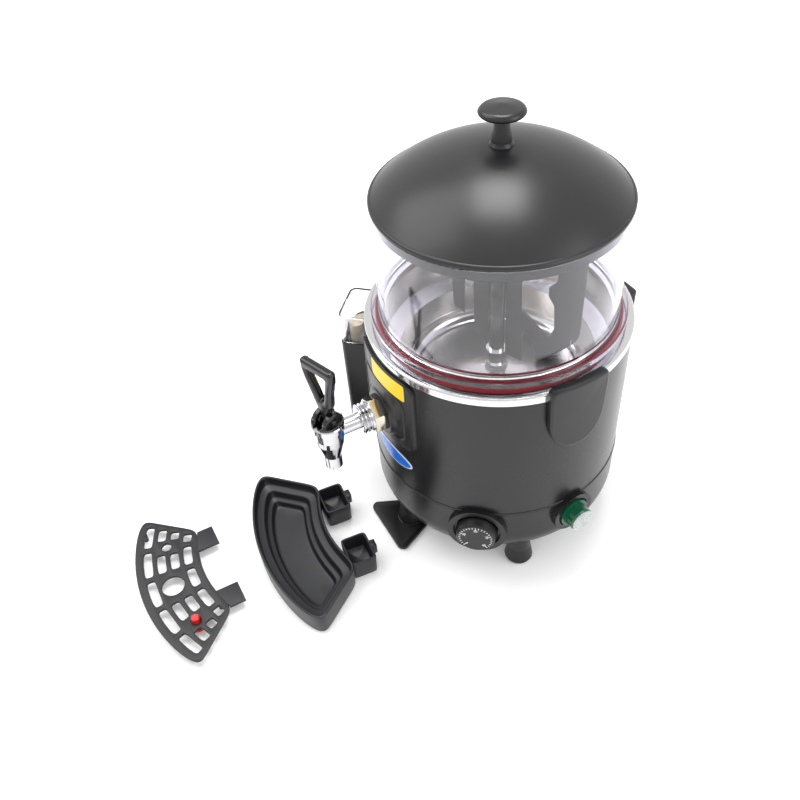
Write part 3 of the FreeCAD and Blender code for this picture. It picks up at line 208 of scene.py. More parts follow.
def useGroup(material, shader, surface, **values):
    # Puts a surface group in front of the shader and joins its outputs to the like sockets.
    tree = material.node_tree
    group = tree.nodes.new("ShaderNodeGroup")
    group.node_tree = surface
    for socketName, value in values.items():
        group.inputs[socketName].default_value = value
    for output in group.outputs:
        link(tree, output, shader.inputs["Base Color" if output.name == "Colour" else output.name])
    return material


def moulded(name, colour, roughness, vary, grain, depth, ior=1.5, metallic=0.0):
    material, shader = newMaterial(name, IOR=ior, Metallic=metallic)
    return useGroup(material, shader, mouldGrain, Colour=colour + (1,), Roughness=roughness,
                    Vary=vary, Grain=grain, Depth=depth)


def turned(name, colour, roughness, vary, lines, depth):
    material, shader = newMaterial(name, Base_Color=colour + (1,), Metallic=1.0)
    return useGroup(material, shader, turnedLines, Roughness=roughness, Vary=vary, Lines=lines,
                    Depth=depth)


def clear(name, colour, roughness):
    material, shader = newMaterial(name, Base_Color=colour + (1,), IOR=1.49, Metallic=0.0,
                                   Transmission_Weight=1.0)
    return useGroup(material, shader, clearWall, Colour=colour + (1,), Roughness=roughness)


# Moulded: colour, roughness, how far it varies, grain, the grain's depth, then IOR and metallic.
mouldedLooks = {
    "lidBlack": ((0.014, 0.014, 0.015), 0.30, 0.08, 2200.0, 0.15, 1.42),
    "shellBlack": ((0.008, 0.008, 0.009), 0.27, 0.08, 1500.0, 0.10, 1.42),
    "baseBlack": ((0.008, 0.008, 0.009), 0.28, 0.08, 1800.0, 0.12, 1.42),
    "mouldBlack": ((0.009, 0.009, 0.010), 0.34, 0.10, 2600.0, 0.15, 1.42),
    "glossBlack": ((0.006, 0.006, 0.007), 0.16, 0.10, 900.0, 0.05),
    "trayBlack": ((0.010, 0.010, 0.012), 0.38, 0.12, 3000.0, 0.2, 1.42),
    "rubberBlack": ((0.02, 0.02, 0.02), 0.75, 0.08, 1800.0, 0.4, 1.45),
    "bladeGrey": ((0.105, 0.102, 0.102), 0.36, 0.10, 1500.0, 0.12),
    "gasketRed": ((0.34, 0.012, 0.025), 0.38, 0.10, 1200.0, 0.1, 1.45),
    "sealWhite": ((0.78, 0.76, 0.72), 0.5, 0.08, 1500.0, 0.15),
    "floatRed": ((0.70, 0.010, 0.020), 0.22, 0.08, 900.0, 0.05),
    "floatBeige": ((0.66, 0.55, 0.40), 0.5, 0.08, 900.0, 0.2),
    "controlGrey": ((0.2, 0.2, 0.2), 0.5, 0.06, 2600.0, 0.12),
    "buttonGreen": ((0.004, 0.085, 0.040), 0.12, 0.05, 800.0, 0.05, 1.49),
    "buttonFace": ((0.46, 0.49, 0.48), 0.18, 0.08, 900.0, 0.08, 1.5, 0.35),
    "markWhite": ((0.75, 0.75, 0.73), 0.5, 0.05, 900.0, 0.05),
    "plateBlue": ((0.01, 0.13, 0.58), 0.22, 0.06, 900.0, 0.05),
    "plateRim": ((0.62, 0.66, 0.72), 0.25, 0.05, 900.0, 0.05),
    "patchYellow": ((0.90, 0.62, 0.012), 0.40, 0.05, 900.0, 0.08),
}
# Metal: colour, roughness, how far it varies, lines to the metre and their depth.
metalLooks = {
    "rimSteel": ((0.66, 0.66, 0.66), 0.10, 0.06, 700.0, 0.05),
    "bowlSteel": ((0.74, 0.72, 0.69), 0.17, 0.12, 900.0, 0.15),
    "sheetSteel": ((0.6, 0.6, 0.6), 0.35, 0.15, 1200.0, 0.3),
    "chrome": ((0.56, 0.56, 0.58), 0.05, 0.04, 300.0, 0.02),
    "nickel": ((0.66, 0.61, 0.52), 0.14, 0.12, 600.0, 0.05),
    "pinSteel": ((0.72, 0.71, 0.70), 0.18, 0.1, 900.0, 0.05),
}
# Clear: colour where it is seen edge-on, and roughness.
clearLooks = {
    "jarClear": ((0.66, 0.64, 0.93), 0.0),
    "capClear": ((0.74, 0.74, 0.80), 0.01),
}
finish = {name: moulded(name, *look) for name, look in mouldedLooks.items()}
finish.update({name: turned(name, *look) for name, look in metalLooks.items()})
finish.update({name: clear(name, *look) for name, look in clearLooks.items()})

nodeFinish = {
    "lidBlack": ("lid", "lid_knob"),
    "shellBlack": ("body_shell",),
    "baseBlack": ("base_housing",),
    "mouldBlack": ("front_plate", "water_box", "rear_cover", "cord_gland", "handle_left",
                   "handle_right", "foot_plate", "legs", "float_guide", "spindle_bearing",
                   "thermostat_dial"),
    "glossBlack": ("tap_bonnet", "tap_lever"),
    "trayBlack": ("drip_tray", "drip_grille"),
    "rubberBlack": ("foot_pads", "tap_washer"),
    "bladeGrey": ("mixer_paddle",),
    "gasketRed": ("jar_gasket",),
    "sealWhite": ("valve_seat", "spindle_seal"),
    "floatRed": ("red_float",),
    "floatBeige": ("water_float",),
    "controlGrey": ("thermostat", "power_switch"),
    "rimSteel": ("rim_band",),
    "bowlSteel": ("steel_bowl",),
    "sheetSteel": ("water_bath", "base_plate", "chassis_plate", "bath_pillars", "chassis_columns",
                   "heating_element", "valve_spring", "thermostat_shaft", "gearbox", "drive_motor",
                   "water_links"),
    "chrome": ("tap_body", "tap_collar"),
    "nickel": ("tap_nut",),
    "pinSteel": ("mixer_tube", "drive_spindle", "lever_pin", "lid_screw", "valve_stem"),
    "jarClear": ("jar",),
    "capClear": ("box_cap",),
    "buttonGreen": ("button_bezel", "power_button"),
}
for finishName, members in nodeFinish.items():
    for member in members:
        materials = nodes[member].data.materials
        materials.clear()
        materials.append(finish[finishName])
print("materials on", sum(len(members) for members in nodeFinish.values()), "nodes")


def gridMesh(name, points, closeU=False, closeV=False):
    # A mesh from an array of points, shape (rows, columns, 3): neighbours make quads.
    rows, columns = points.shape[:2]
    index = np.arange(rows * columns).reshape(rows, columns)
    if closeU:
        index = np.concatenate([index, index[:1]], axis=0)
    if closeV:
        index = np.concatenate([index, index[:, :1]], axis=1)
    faces = np.stack([index[:-1, :-1], index[:-1, 1:], index[1:, 1:], index[1:, :-1]], axis=-1)
    mesh = bpy.data.meshes.new(name)
    mesh.from_pydata(points.reshape(-1, 3).tolist(), [], faces.reshape(-1, 4).tolist())
    return mesh


def tidyMesh(mesh, angle=35):
    # Merges the poles and seams, turns the faces outwards and shades them smooth up to an angle.
    work = bmesh.new()
    work.from_mesh(mesh)
    bmesh.ops.remove_doubles(work, verts=work.verts, dist=1e-6)
    bmesh.ops.dissolve_degenerate(work, edges=work.edges, dist=1e-7)
    bmesh.ops.recalc_face_normals(work, faces=work.faces)
    work.to_mesh(mesh)
    work.free()
    mesh.shade_smooth()
    mesh.set_sharp_from_angle(angle=deg(angle))


def addObject(name, data):
    holder = bpy.data.objects.new(name, data)
    bpy.context.scene.collection.objects.link(holder)
    return holder


def addPiece(name, mesh, look, body, smooth=35):
    # Tidies a mesh and adds it to the body that it moves with.
    tidyMesh(mesh, smooth)
    mesh.materials.append(finish[look])
    piece = addObject(name, mesh)
    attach(piece, body)
    return piece


def meshFromCurve(name, curve):
    holder = addObject(name + "_holder", curve)
    graph = bpy.context.evaluated_depsgraph_get()
    mesh = bpy.data.meshes.new_from_object(holder.evaluated_get(graph))
    bpy.data.objects.remove(holder)
    mesh.name = name
    return mesh


def facing(turn, reach, height):
    # Frame of a spot on the machine's side: X to the right, Y up and Z outwards.
    out = Vector((math.cos(deg(turn)), math.sin(deg(turn)), 0))
    right = Vector((0, 0, 1)).cross(out)
    matrix = Matrix((right, Vector((0, 0, 1)), out)).transposed().to_4x4()
    matrix.translation = out * reach + Vector((0, 0, height))
    return matrix


def spun(name, profile, steps=72):
    # Revolve: (r cos t, r sin t, h) for each profile point (r, h).
    profile = np.asarray(profile, float)
    t = np.linspace(0, 2 * np.pi, steps, endpoint=False)
    points = np.stack([profile[:, None, 0] * np.cos(t), profile[:, None, 0] * np.sin(t),
                       np.repeat(profile[:, 1:], steps, axis=1)], axis=-1)
    return gridMesh(name, points, closeV=True)


def wrapped(angle, out, height):
    # Points of a surface round the machine's axis, from angle, distance and height.
    return np.stack([out * np.cos(angle), out * np.sin(angle), height], axis=-1)


def signedPower(value, power):
    return np.sign(value) * np.abs(value) ** power


def evenSteps(path, count):
    # The same path with its points spread evenly along its length, the last one left out.
    run = np.concatenate([[0], np.cumsum(np.linalg.norm(np.diff(path, axis=0), axis=1))])
    even = np.linspace(0, run[-1], count, endpoint=False)
    return np.stack([np.interp(even, run, path[:, k]) for k in (0, 1)], axis=-1)


# Width of the rounded edge on each moulded piece.
softEdges = {
    "tap_bonnet": 0.0009, "water_box": 0.0008, "foot_plate": 0.0010, "front_plate": 0.0009,
    "box_cap": 0.0007, "rear_cover": 0.0010, "tap_nut": 0.0004, "cord_gland": 0.0005,
    "float_guide": 0.0003,
}
softening = {"merge": 2e-6, "flat": 1.0, "corner": 28, "steps": 3}


def roundedCopy(name, width):
    # A merged copy whose flat parts are dissolved to single faces, so a bevel rounds every edge.
    node = nodes[name]
    mesh = node.data.copy()
    mesh.name = name + "_soft"
    work = bmesh.new()
    work.from_mesh(mesh)
    bmesh.ops.remove_doubles(work, verts=work.verts, dist=softening["merge"])
    bmesh.ops.dissolve_limit(work, angle_limit=deg(softening["flat"]), verts=work.verts,
                             edges=work.edges)
    work.to_mesh(mesh)
    work.free()
    mesh.shade_smooth()
    piece = addObject(name + "_soft", mesh)
    bevel = piece.modifiers.new("edges", "BEVEL")
    bevel.width, bevel.segments = width, softening["steps"]
    bevel.limit_method, bevel.angle_limit = "ANGLE", deg(softening["corner"])
    bevel.use_clamp_overlap, bevel.harden_normals = True, True
    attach(piece, node["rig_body"])
    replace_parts(piece, name)


for name, width in softEdges.items():
    roundedCopy(name, width)
print("rounded copies", len(softEdges))

# Blank oval on the shell, with a pale rim, and blank patch on the front plate.
oval = {"turn": 274.6, "height": 0.1375, "reach": 0.134, "across": 0.064, "up": 0.0205, "power": 2.0,
        "thick": 0.0007, "crown": 0.0}
ovalRim = 0.0011
field = dict(oval, across=oval["across"] - 2 * ovalRim, up=oval["up"] - 2 * ovalRim, thick=0.0009,
             crown=0.0003)
patch = {"turn": 276.3, "height": 0.2440, "reach": 0.1375, "across": 0.056, "up": 0.021,
         "power": 14.0, "thick": 0.0002, "crown": 0.0}
# The flat part of a label, and the border where its thickness falls off.
labelGrid = {"outline": 4001, "round": 160, "flat": 0.9, "rings": 12, "sunk": 0.0002}
labelBorder = {"share": [0.97, 1.0, 1.0], "thick": [0.85, 0.35]}


def makeLabel(name, label, look):
    # Superellipse |x/a|^p + |y/b|^p = 1 wrapped on a cylinder: x becomes an angle, y a height, and
    # the thickness falls to nothing over the last share of its radius.
    t = np.linspace(0, 2 * np.pi, labelGrid["outline"])
    outline = np.stack([signedPower(np.cos(t), 2 / label["power"]) * label["across"] / 2,
                        signedPower(np.sin(t), 2 / label["power"]) * label["up"] / 2], axis=-1)
    shape = evenSteps(outline, labelGrid["round"])
    inner = np.linspace(0, labelGrid["flat"], labelGrid["rings"])
    share = np.concatenate([inner, labelBorder["share"]])
    lift = np.concatenate([label["thick"] + label["crown"] * (1 - inner ** 2),
                           label["thick"] * np.array(labelBorder["thick"]), [-labelGrid["sunk"]]])
    flat = share[:, None, None] * shape[None]
    angle = deg(label["turn"]) + flat[..., 0] / label["reach"]
    points = wrapped(angle, label["reach"] + lift[:, None], label["height"] + flat[..., 1])
    addPiece(name, gridMesh(name, points, closeV=True), look, "machine", 60)


makeLabel("badge_rim", oval, "plateRim")
makeLabel("badge_field", field, "plateBlue")
makeLabel("plate_patch", patch, "patchYellow")
print("label places")

# The shell's hem over the joint, and the dark gap below it. Both are lips round the shell.
shell = {"radius": 0.134, "steps": 240}
hem = {"low": 0.1002, "high": 0.1036, "sunk": 0.0003, "proud": 0.0008, "power": 0.6, "points": 12}
gap = {"low": hem["low"] - 0.0009, "high": hem["low"] + 0.0001, "sunk": 0.0008, "proud": 0.0002,
       "power": 1.0, "points": 8}


def makeLip(name, lip, look):
    # Revolve of a half-round lip: r = R - sunk + (sunk + proud) sin(pi s)^p, h from low to high.
    share = np.linspace(0, 1, lip["points"])
    bulge = np.sin(np.pi * share) ** lip["power"]
    radius = shell["radius"] - lip["sunk"] + (lip["sunk"] + lip["proud"]) * bulge
    height = lip["low"] + (lip["high"] - lip["low"]) * share
    mesh = spun(name, np.stack([radius, height], axis=-1), shell["steps"])
    addPiece(name, mesh, look, "machine", 70)


bead = {"across": 0.080, "low": 0.1745, "high": 0.2325, "corner": 0.011, "reach": 0.1376,
        "thick": 0.0011, "flatness": 0.7, "steps": 240, "bend": 10, "round": 10}


def makePlateBead():
    # A round bead along a rounded rectangle wrapped on a cylinder: the path's x becomes an angle.
    quarter = np.linspace(0, np.pi / 2, bead["bend"])
    corner, side = bead["corner"], bead["across"] / 2 - bead["corner"]
    top, bottom = bead["high"] - corner, bead["low"] + corner
    path = np.concatenate([np.stack([x + corner * np.cos(quarter + deg(start)),
                                     z + corner * np.sin(quarter + deg(start))], axis=-1)
                           for x, z, start in ((side, top, 0), (-side, top, 90),
                                               (-side, bottom, 180), (side, bottom, 270))])
    x, z = evenSteps(np.concatenate([path, path[:1]]), bead["steps"]).T
    tangent = np.stack([np.roll(x, -1) - np.roll(x, 1), np.roll(z, -1) - np.roll(z, 1)], axis=-1)
    tangent /= np.linalg.norm(tangent, axis=1)[:, None]
    t = np.linspace(0, 2 * np.pi, bead["round"], endpoint=False)
    sideways = x[:, None] + bead["thick"] * np.cos(t) * tangent[:, None, 1]
    height = z[:, None] - bead["thick"] * np.cos(t) * tangent[:, None, 0]
    out = bead["reach"] + bead["thick"] * np.sin(t) * bead["flatness"]
    mesh = gridMesh("plate_bead", wrapped(deg(270) + sideways / bead["reach"], out, height),
                    closeU=True, closeV=True)
    addPiece("plate_bead", mesh, "mouldBlack", "machine", 80)


makeLip("shell_hem", hem, "shellBlack")
makeLip("joint_shadow", gap, "rubberBlack")
makePlateBead()
print("hem and bead")

blade = {"turn": 50.0, "thick": 0.0040, "round": 0.0007}
# Outlines in millimetres: distance from the axis, height.
bladeEdge = [(9, 372), (9, 214), (13, 206), (25.5, 200), (26.5, 204), (26.5, 237), (29, 240),
             (35.5, 228), (39.5, 212), (40, 203), (53, 206), (62, 214), (76, 227), (83, 238),
             (84, 262), (84, 372), (62, 372), (58, 330), (57, 303), (50, 296), (50, 286),
             (56, 274), (57.5, 246), (54, 236), (49, 237), (36, 254), (25, 266), (24, 290),
             (24, 372)]
rearEdge = [(-9, 372), (-9, 222), (-13, 226), (-23, 240), (-24, 296), (-27, 304), (-31, 306),
            (-33, 300), (-33, 258), (-37, 262), (-44, 270), (-45, 372)]
crossBar = [(-45, 366), (84, 366), (84, 352), (70, 350), (-38, 350), (-45, 352)]
onEdge = Matrix.Rotation(deg(90), 4, "X")  # stands a flat plate up: Y becomes Z


def plateMesh(name, outlines, thick, edge, samples=6, tension=0.22):
    # Flat plate from closed outlines in millimetres, with rounded edges. Each outline is a cubic
    # Hermite curve through its points p, whose slope at a point is tension (next - last).
    curve = bpy.data.curves.new(name + "_curve", "CURVE")
    curve.dimensions, curve.fill_mode, curve.offset = "2D", "BOTH", -edge
    curve.extrude, curve.bevel_depth, curve.bevel_resolution = thick / 2 - edge, edge, 3
    u = np.linspace(0, 1, samples, endpoint=False)[None, :, None]
    for outline in outlines:
        corners = np.array(outline, float) / 1000
        p0, p1, p2, p3 = (np.roll(corners, shift, 0)[:, None] for shift in (1, 0, -1, -2))
        line = ((2 * u ** 3 - 3 * u ** 2 + 1) * p1 + (3 * u ** 2 - 2 * u ** 3) * p2
                + (u ** 3 - 2 * u ** 2 + u) * tension * (p2 - p0)
                + (u ** 3 - u ** 2) * tension * (p3 - p1)).reshape(-1, 2)
        spline = curve.splines.new("POLY")
        spline.points.add(len(line) - 1)
        flat = np.pad(line, ((0, 0), (0, 2)))
        flat[:, 3] = 1.0
        spline.points.foreach_set("co", flat.ravel())
        spline.use_cyclic_u = True
    return meshFromCurve(name, curve)


def makeBlades():
    # The plates stand upright in a plane through the axis.
    stand = Matrix.Rotation(deg(blade["turn"]), 4, "Z") @ onEdge
    for name, outline in (("mixer_blade_wide", bladeEdge), ("mixer_blade_narrow", rearEdge),
                          ("mixer_blade_bridge", crossBar)):
        mesh = plateMesh(name, [outline], blade["thick"], blade["round"])
        mesh.transform(stand)
        piece = addPiece(name, mesh, "bladeGrey", "mixer", 30)
        if name == "mixer_blade_wide":
            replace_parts(piece, "mixer_paddle")


makeBlades()
print("mixer blades")

lever = {"turn": 20.0, "axis": (0.0, -0.196), "thick": 0.0095, "round": 0.0034, "pin": 0.210,
         "hub": 0.0079, "hubHalf": 0.0046, "slot": 0.0025, "bore": 0.0021, "hubEdge": 0.0005,
         "neckThick": 0.0085, "neckRound": 0.001}
# Outlines in millimetres: distance from the tap's axis, height.
leverEdge = [(-21.5, 277), (-20, 280), (16, 280), (19.5, 277), (19, 268), (14.5, 250), (12.5, 234),
             (8, 224), (4.4, 218), (-4.4, 218), (-7, 226), (-12, 240), (-19, 258), (-22, 270)]
leverHole = [(-13.5, 269.5), (9.5, 269.5), (10, 266), (5.5, 246), (3, 238), (-1.5, 237), (-5, 246),
             (-13, 264)]
leverNeck = [(-4.3, 224), (-4.3, 214), (4.3, 214), (4.3, 224)]


def addLeverPiece(name, mesh, place, smooth):
    stand = (Matrix.Translation(lever["axis"] + (0,)) @ Matrix.Rotation(deg(lever["turn"]), 4, "Z"))
    mesh.transform(stand @ place)
    return addPiece(name, mesh, "glossBlack", "lever", smooth)


def makeLever():
    mesh = plateMesh("lever_loop", [leverEdge, leverHole], lever["thick"], lever["round"], 8)
    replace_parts(addLeverPiece("lever_loop", mesh, onEdge, 50), "tap_lever")
    # Two cheeks on the pin, with room between them for the valve's stem.
    place = Matrix.Translation((0, 0, lever["pin"])) @ Matrix.Rotation(deg(90), 4, "Y")
    bore, rim, edge = lever["bore"], lever["hub"], lever["hubEdge"]
    for n, (near, far) in enumerate(((-lever["hubHalf"], -lever["slot"]),
                                     (lever["slot"], lever["hubHalf"]))):
        mesh = spun("lever_cheek_%d" % n, [(bore, near), (rim - edge, near), (rim, near + edge),
                                           (rim, far - edge), (rim - edge, far), (bore, far)], 40)
        addLeverPiece("lever_cheek_%d" % n, mesh, place, 50)
    mesh = plateMesh("lever_neck", [leverNeck], lever["neckThick"], lever["neckRound"])
    addLeverPiece("lever_neck", mesh, onEdge, 40)


def makeSpring():
    # The real spring shortens towards the bonnet as the valve lifts; here it is only copied onto a
    # mesh of its own.
    mesh = nodes["valve_spring"].data.copy()
    mesh.name = "valve_coil"
    mesh.materials.clear()
    mesh.materials.append(finish["sheetSteel"])
    coil = addObject("valve_coil", mesh)
    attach(coil, "machine")
    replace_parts(coil, "valve_spring")
    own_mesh(coil)


makeLever()
makeSpring()
print("lever and spring")

handle = {"reach": 0.1346, "height": 0.2355, "across": 0.060, "up": 0.081, "thick": 0.0082,
          "topPower": 9.0, "tipPower": 2.35, "taper": 0.10, "crown": 0.0012, "crowned": 0.86,
          "rings": 14, "round": 160}
# The handle's rounded border: share of the way out, and share of the thickness there.
handleBorder = np.array([(0.91, 0.985), (0.945, 0.955), (0.97, 0.90), (0.988, 0.80), (0.997, 0.66),
                         (1.0, 0.5), (1.0, 0.0), (0.9, 0.0), (0.0, 0.0)])


def makeHandles():
    # Shields wrapped on the shell. A superellipse, whose power is high over the square top and low
    # over the round tip, and which narrows towards the tip; the middle is crowned as a cosine.
    t = np.linspace(0, 2 * np.pi, handle["round"], endpoint=False)
    power = 2 / np.where(np.sin(t) > 0, handle["topPower"], handle["tipPower"])
    x = signedPower(np.cos(t), power) * handle["across"] / 2
    y = signedPower(np.sin(t), power) * handle["up"] / 2
    x = x * (1 + handle["taper"] * y / handle["up"])
    inner = np.linspace(0, handle["crowned"], handle["rings"])
    share = np.concatenate([inner, handleBorder[:, 0]])[:, None]
    lift = np.concatenate([handle["thick"] - handle["crown"] * np.cos(np.pi * inner / 2),
                           handle["thick"] * handleBorder[:, 1]])[:, None]
    for name, turn in (("handle_left", 180), ("handle_right", 0)):
        angle = deg(turn) + share * x / handle["reach"]
        points = wrapped(angle, handle["reach"] + lift + 0 * x, handle["height"] + share * y)
        mesh = gridMesh(name + "_shield", points, closeV=True)
        piece = addPiece(name + "_shield", mesh, "mouldBlack", "machine", 60)
        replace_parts(piece, name)


makeHandles()
print("handles")


def squareLoop(power, steps):
    # Points evenly turned round a superellipse: (cos t, sin t) / (|cos t|^p + |sin t|^p)^(1/p).
    t = np.linspace(0, 2 * np.pi, steps, endpoint=False)
    span = (np.abs(np.cos(t)) ** power + np.abs(np.sin(t)) ** power) ** (1 / power)
    return np.cos(t) / span, np.sin(t) / span


def sectorEnd(sector, radius):
    # Half angle of a sector whose ends bow outwards, in degrees: it grows from endInner to
    # endOuter as share ** 0.6.
    share = np.clip((radius - sector["inner"]) / (sector["outer"] - sector["inner"]), 0, 1)
    return sector["endInner"] + (sector["endOuter"] - sector["endInner"]) * share ** 0.6


def sectorLoop(sector, inset, power, steps):
    # Superellipse mapped on a sector: u runs over the radius and v over the angle.
    u, v = squareLoop(power, steps)
    middle, half = (sector["inner"] + sector["outer"]) / 2, (sector["outer"] - sector["inner"]) / 2
    radius = middle + (half - inset) * u
    angle = deg(270) + (np.radians(sectorEnd(sector, radius)) - inset / radius) * v
    return np.stack([radius * np.cos(angle), radius * np.sin(angle)], axis=-1)


tray = {"centre": (-0.0026, -0.0755, 0), "turn": -4.7, "inner": 0.138, "outer": 0.218,
        "endInner": 25.5, "endOuter": 31.5, "power": 9.0, "steps": 360, "boxSteps": 120}
# Sections in millimetres: inset from the outline and height.
traySection = [(40.0, 0.6), (3.0, 0.6), (1.6, 1.2), (1.0, 3.0), (0.2, 28.6), (0.4, 29.6),
               (1.1, 30.0), (2.2, 30.0), (2.8, 29.5), (3.4, 27.5), (4.6, 20.6), (5.4, 19.9),
               (11.5, 19.2), (12.6, 18.7), (13.2, 17.4), (14.6, 11.4), (15.4, 10.6), (19.0, 10.0),
               (20.0, 9.4), (20.6, 8.0), (21.6, 4.4), (22.6, 3.6), (25.0, 3.2), (40.0, 3.0)]
arm = {"side": 0.040, "y": -0.1160, "halfX": 0.0195, "halfY": 0.0150, "section": [
    (25, 1.0), (1.4, 1.0), (0.6, 2.4), (0, 26.4), (0.5, 27.4), (1.2, 27.8), (2.0, 27.6),
    (2.5, 26.8), (3.0, 9.0), (4.0, 8.0), (25, 8.0)]}
hook = {"side": 0.040, "y": -0.0995, "halfX": 0.0055, "halfY": 0.0040, "section": [
    (9, 15.0), (0.3, 15.0), (0, 15.4), (0, 26.6), (0.4, 27.0), (9, 27.0)]}


def makeTray():
    # The pan's outline is stacked with its section's inset and height; so are the arms and hooks.
    stand = Matrix.Translation(tray["centre"]) @ Matrix.Rotation(deg(tray["turn"]), 4, "Z")

    def addTrayPiece(name, loops):
        mesh = gridMesh(name, np.array(loops), closeV=True)
        mesh.transform(stand)
        return addPiece(name, mesh, "trayBlack", "tray", 50)

    pan = []
    for inset, height in traySection:
        loop = sectorLoop(tray, inset / 1000, tray["power"], tray["steps"])
        pan.append(np.pad(loop, ((0, 0), (0, 1)), constant_values=height / 1000))
    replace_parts(addTrayPiece("tray_pan", pan), "drip_tray")
    u, v = squareLoop(tray["power"], tray["boxSteps"])
    for n, side in enumerate((-1, 1)):
        for name, box in (("tray_arm_%d" % n, arm), ("tray_hook_%d" % n, hook)):
            loops = []
            for inset, height in box["section"]:
                halfX = box["halfX"] - min(inset / 1000, box["halfX"])
                halfY = box["halfY"] - min(inset / 1000, box["halfY"])
                loops.append(np.stack([side * box["side"] + halfX * u, box["y"] + halfY * v,
                                       np.full(len(u), height / 1000)], axis=-1))
            addTrayPiece(name, loops)


grille = {"centre": (-0.042, -0.213), "inner": 0.141, "outer": 0.213, "endInner": 23.5,
          "endOuter": 30.5, "power": 10.0, "low": 0.009, "thick": 0.0035, "edge": 0.0006,
          "slotHalf": 0.0049, "spoke": 0.0030, "rim": 0.0075,
          "rows": (0.1540, 0.1690, 0.1840, 0.1990), "spokes": (-18, -6, 6, 18),
          "holeRing": 0.1775, "boss": 0.0098, "slotPower": 0.42, "slotSteps": 28,
          "outlineSteps": 200}
grilleHoles = ((0, 12.6), (-18, 5.5), (18, 5.5))  # turn, and radius in millimetres
grilleTab = {"spacing": 88.0, "width": 27.0, "near": 143.0, "far": -113.0, "thinner": 0.0002,
             "edge": 0.0005}
grillePegs = ((0.206, -25), (0.206, 25), (0.146, -18), (0.146, 18))  # distance and turn
pegProfile = [(0.0, 0.0), (0.0026, 0.0), (0.0030, 0.0005), (0.0032, 0.0095), (0.0, 0.0095)]


def grilleSlots():
    # Rounded slots between the spokes, row by row. The middle column leaves room for the large
    # hole, and the slots beside the outer spokes leave room for the small ones.
    t = np.linspace(0, 2 * np.pi, grille["slotSteps"], endpoint=False)
    across, along = (signedPower(wave, grille["slotPower"]) for wave in (np.cos(t), np.sin(t)))
    spokes = grille["spokes"]
    edges = (None,) + spokes + (None,)
    bossed, middleRows, middleColumn = (spokes[0], spokes[-1]), (1, 2), 2
    slots = []
    for column in range(len(edges) - 1):
        for row, radius in enumerate(grille["rows"]):
            if column == middleColumn and row in middleRows:
                continue
            end = float(sectorEnd(grille, radius)) - math.degrees(grille["rim"] / radius)
            low, high = edges[column], edges[column + 1]
            spare = [math.degrees((grille["boss"] if row in middleRows and edge in bossed
                                   else grille["spoke"]) / radius) for edge in (low, high)]
            low = -end if low is None else low + spare[0]
            high = end if high is None else high - spare[1]
            angle = deg(270) + np.radians((low + high) / 2 + (high - low) / 2 * along)
            reach = radius + grille["slotHalf"] * across
            slots.append(np.stack([reach * np.cos(angle), reach * np.sin(angle)], axis=-1) * 1000)
    for turn, wide in grilleHoles:
        x = 1000 * grille["holeRing"] * math.sin(deg(turn)) + wide * np.cos(t)
        y = -1000 * grille["holeRing"] * math.cos(deg(turn)) + wide * np.sin(t)
        slots.append(np.stack([x, y], axis=-1))
    return slots


def makeGrille():
    x, y = grille["centre"]
    place = Matrix.Translation((x, y, grille["low"] + grille["thick"] / 2))
    outline = sectorLoop(grille, 0.0, grille["power"], grille["outlineSteps"]) * 1000
    mesh = plateMesh("grille_sheet", [outline] + grilleSlots(), grille["thick"], grille["edge"], 1)
    mesh.transform(place)
    sheet = addPiece("grille_sheet", mesh, "trayBlack", "grille", 40)
    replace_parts(sheet, "drip_grille")
    half, far = grilleTab["width"] / 2, grilleTab["far"]
    for n, side in enumerate((-1, 1)):
        left, right = (side * grilleTab["spacing"] / 2 + end for end in (-half, half))
        near = [-math.sqrt(grilleTab["near"] ** 2 - end ** 2) for end in (left, right)]
        corners = [(left, near[0]), (right, near[1]), (right, far), (left, far)]
        mesh = plateMesh("grille_tab_%d" % n, [corners], grille["thick"] - grilleTab["thinner"],
                         grilleTab["edge"], 1)
        mesh.transform(place)
        addPiece("grille_tab_%d" % n, mesh, "trayBlack", "grille", 40)
    # Short pegs under the corners hold the sheet off the floor.
    for n, (reach, turn) in enumerate(grillePegs):
        peg = spun("grille_peg_%d" % n, pegProfile, 24)
        peg.transform(Matrix.Translation((x + reach * math.sin(deg(turn)),
                                          y - reach * math.cos(deg(turn)), 0)))
        addPiece("grille_peg_%d" % n, peg, "trayBlack", "grille", 40)


makeTray()
makeGrille()
print("tray and grille")

dial = {"turn": 320.0, "height": 0.077, "face": 0.0002, "radius": 0.0178, "tickLong": 0.0034,
        "tickShort": 0.0020, "tickWide": 0.0007, "first": 225, "last": -45, "ticks": 25,
        "each": 6, "numbers": ("0", "30", "50", "70", "90"), "numberRadius": 0.0125,
        "numberSize": 0.0042}


def highestAlong(node, turn):
    # How far out a node reaches along a direction from the axis.
    mesh = nodes[node].data
    points = np.zeros(len(mesh.vertices) * 3)
    mesh.vertices.foreach_get("co", points)
    out = np.array([math.cos(deg(turn)), math.sin(deg(turn)), 0])
    return float((points.reshape(-1, 3) @ out).max())


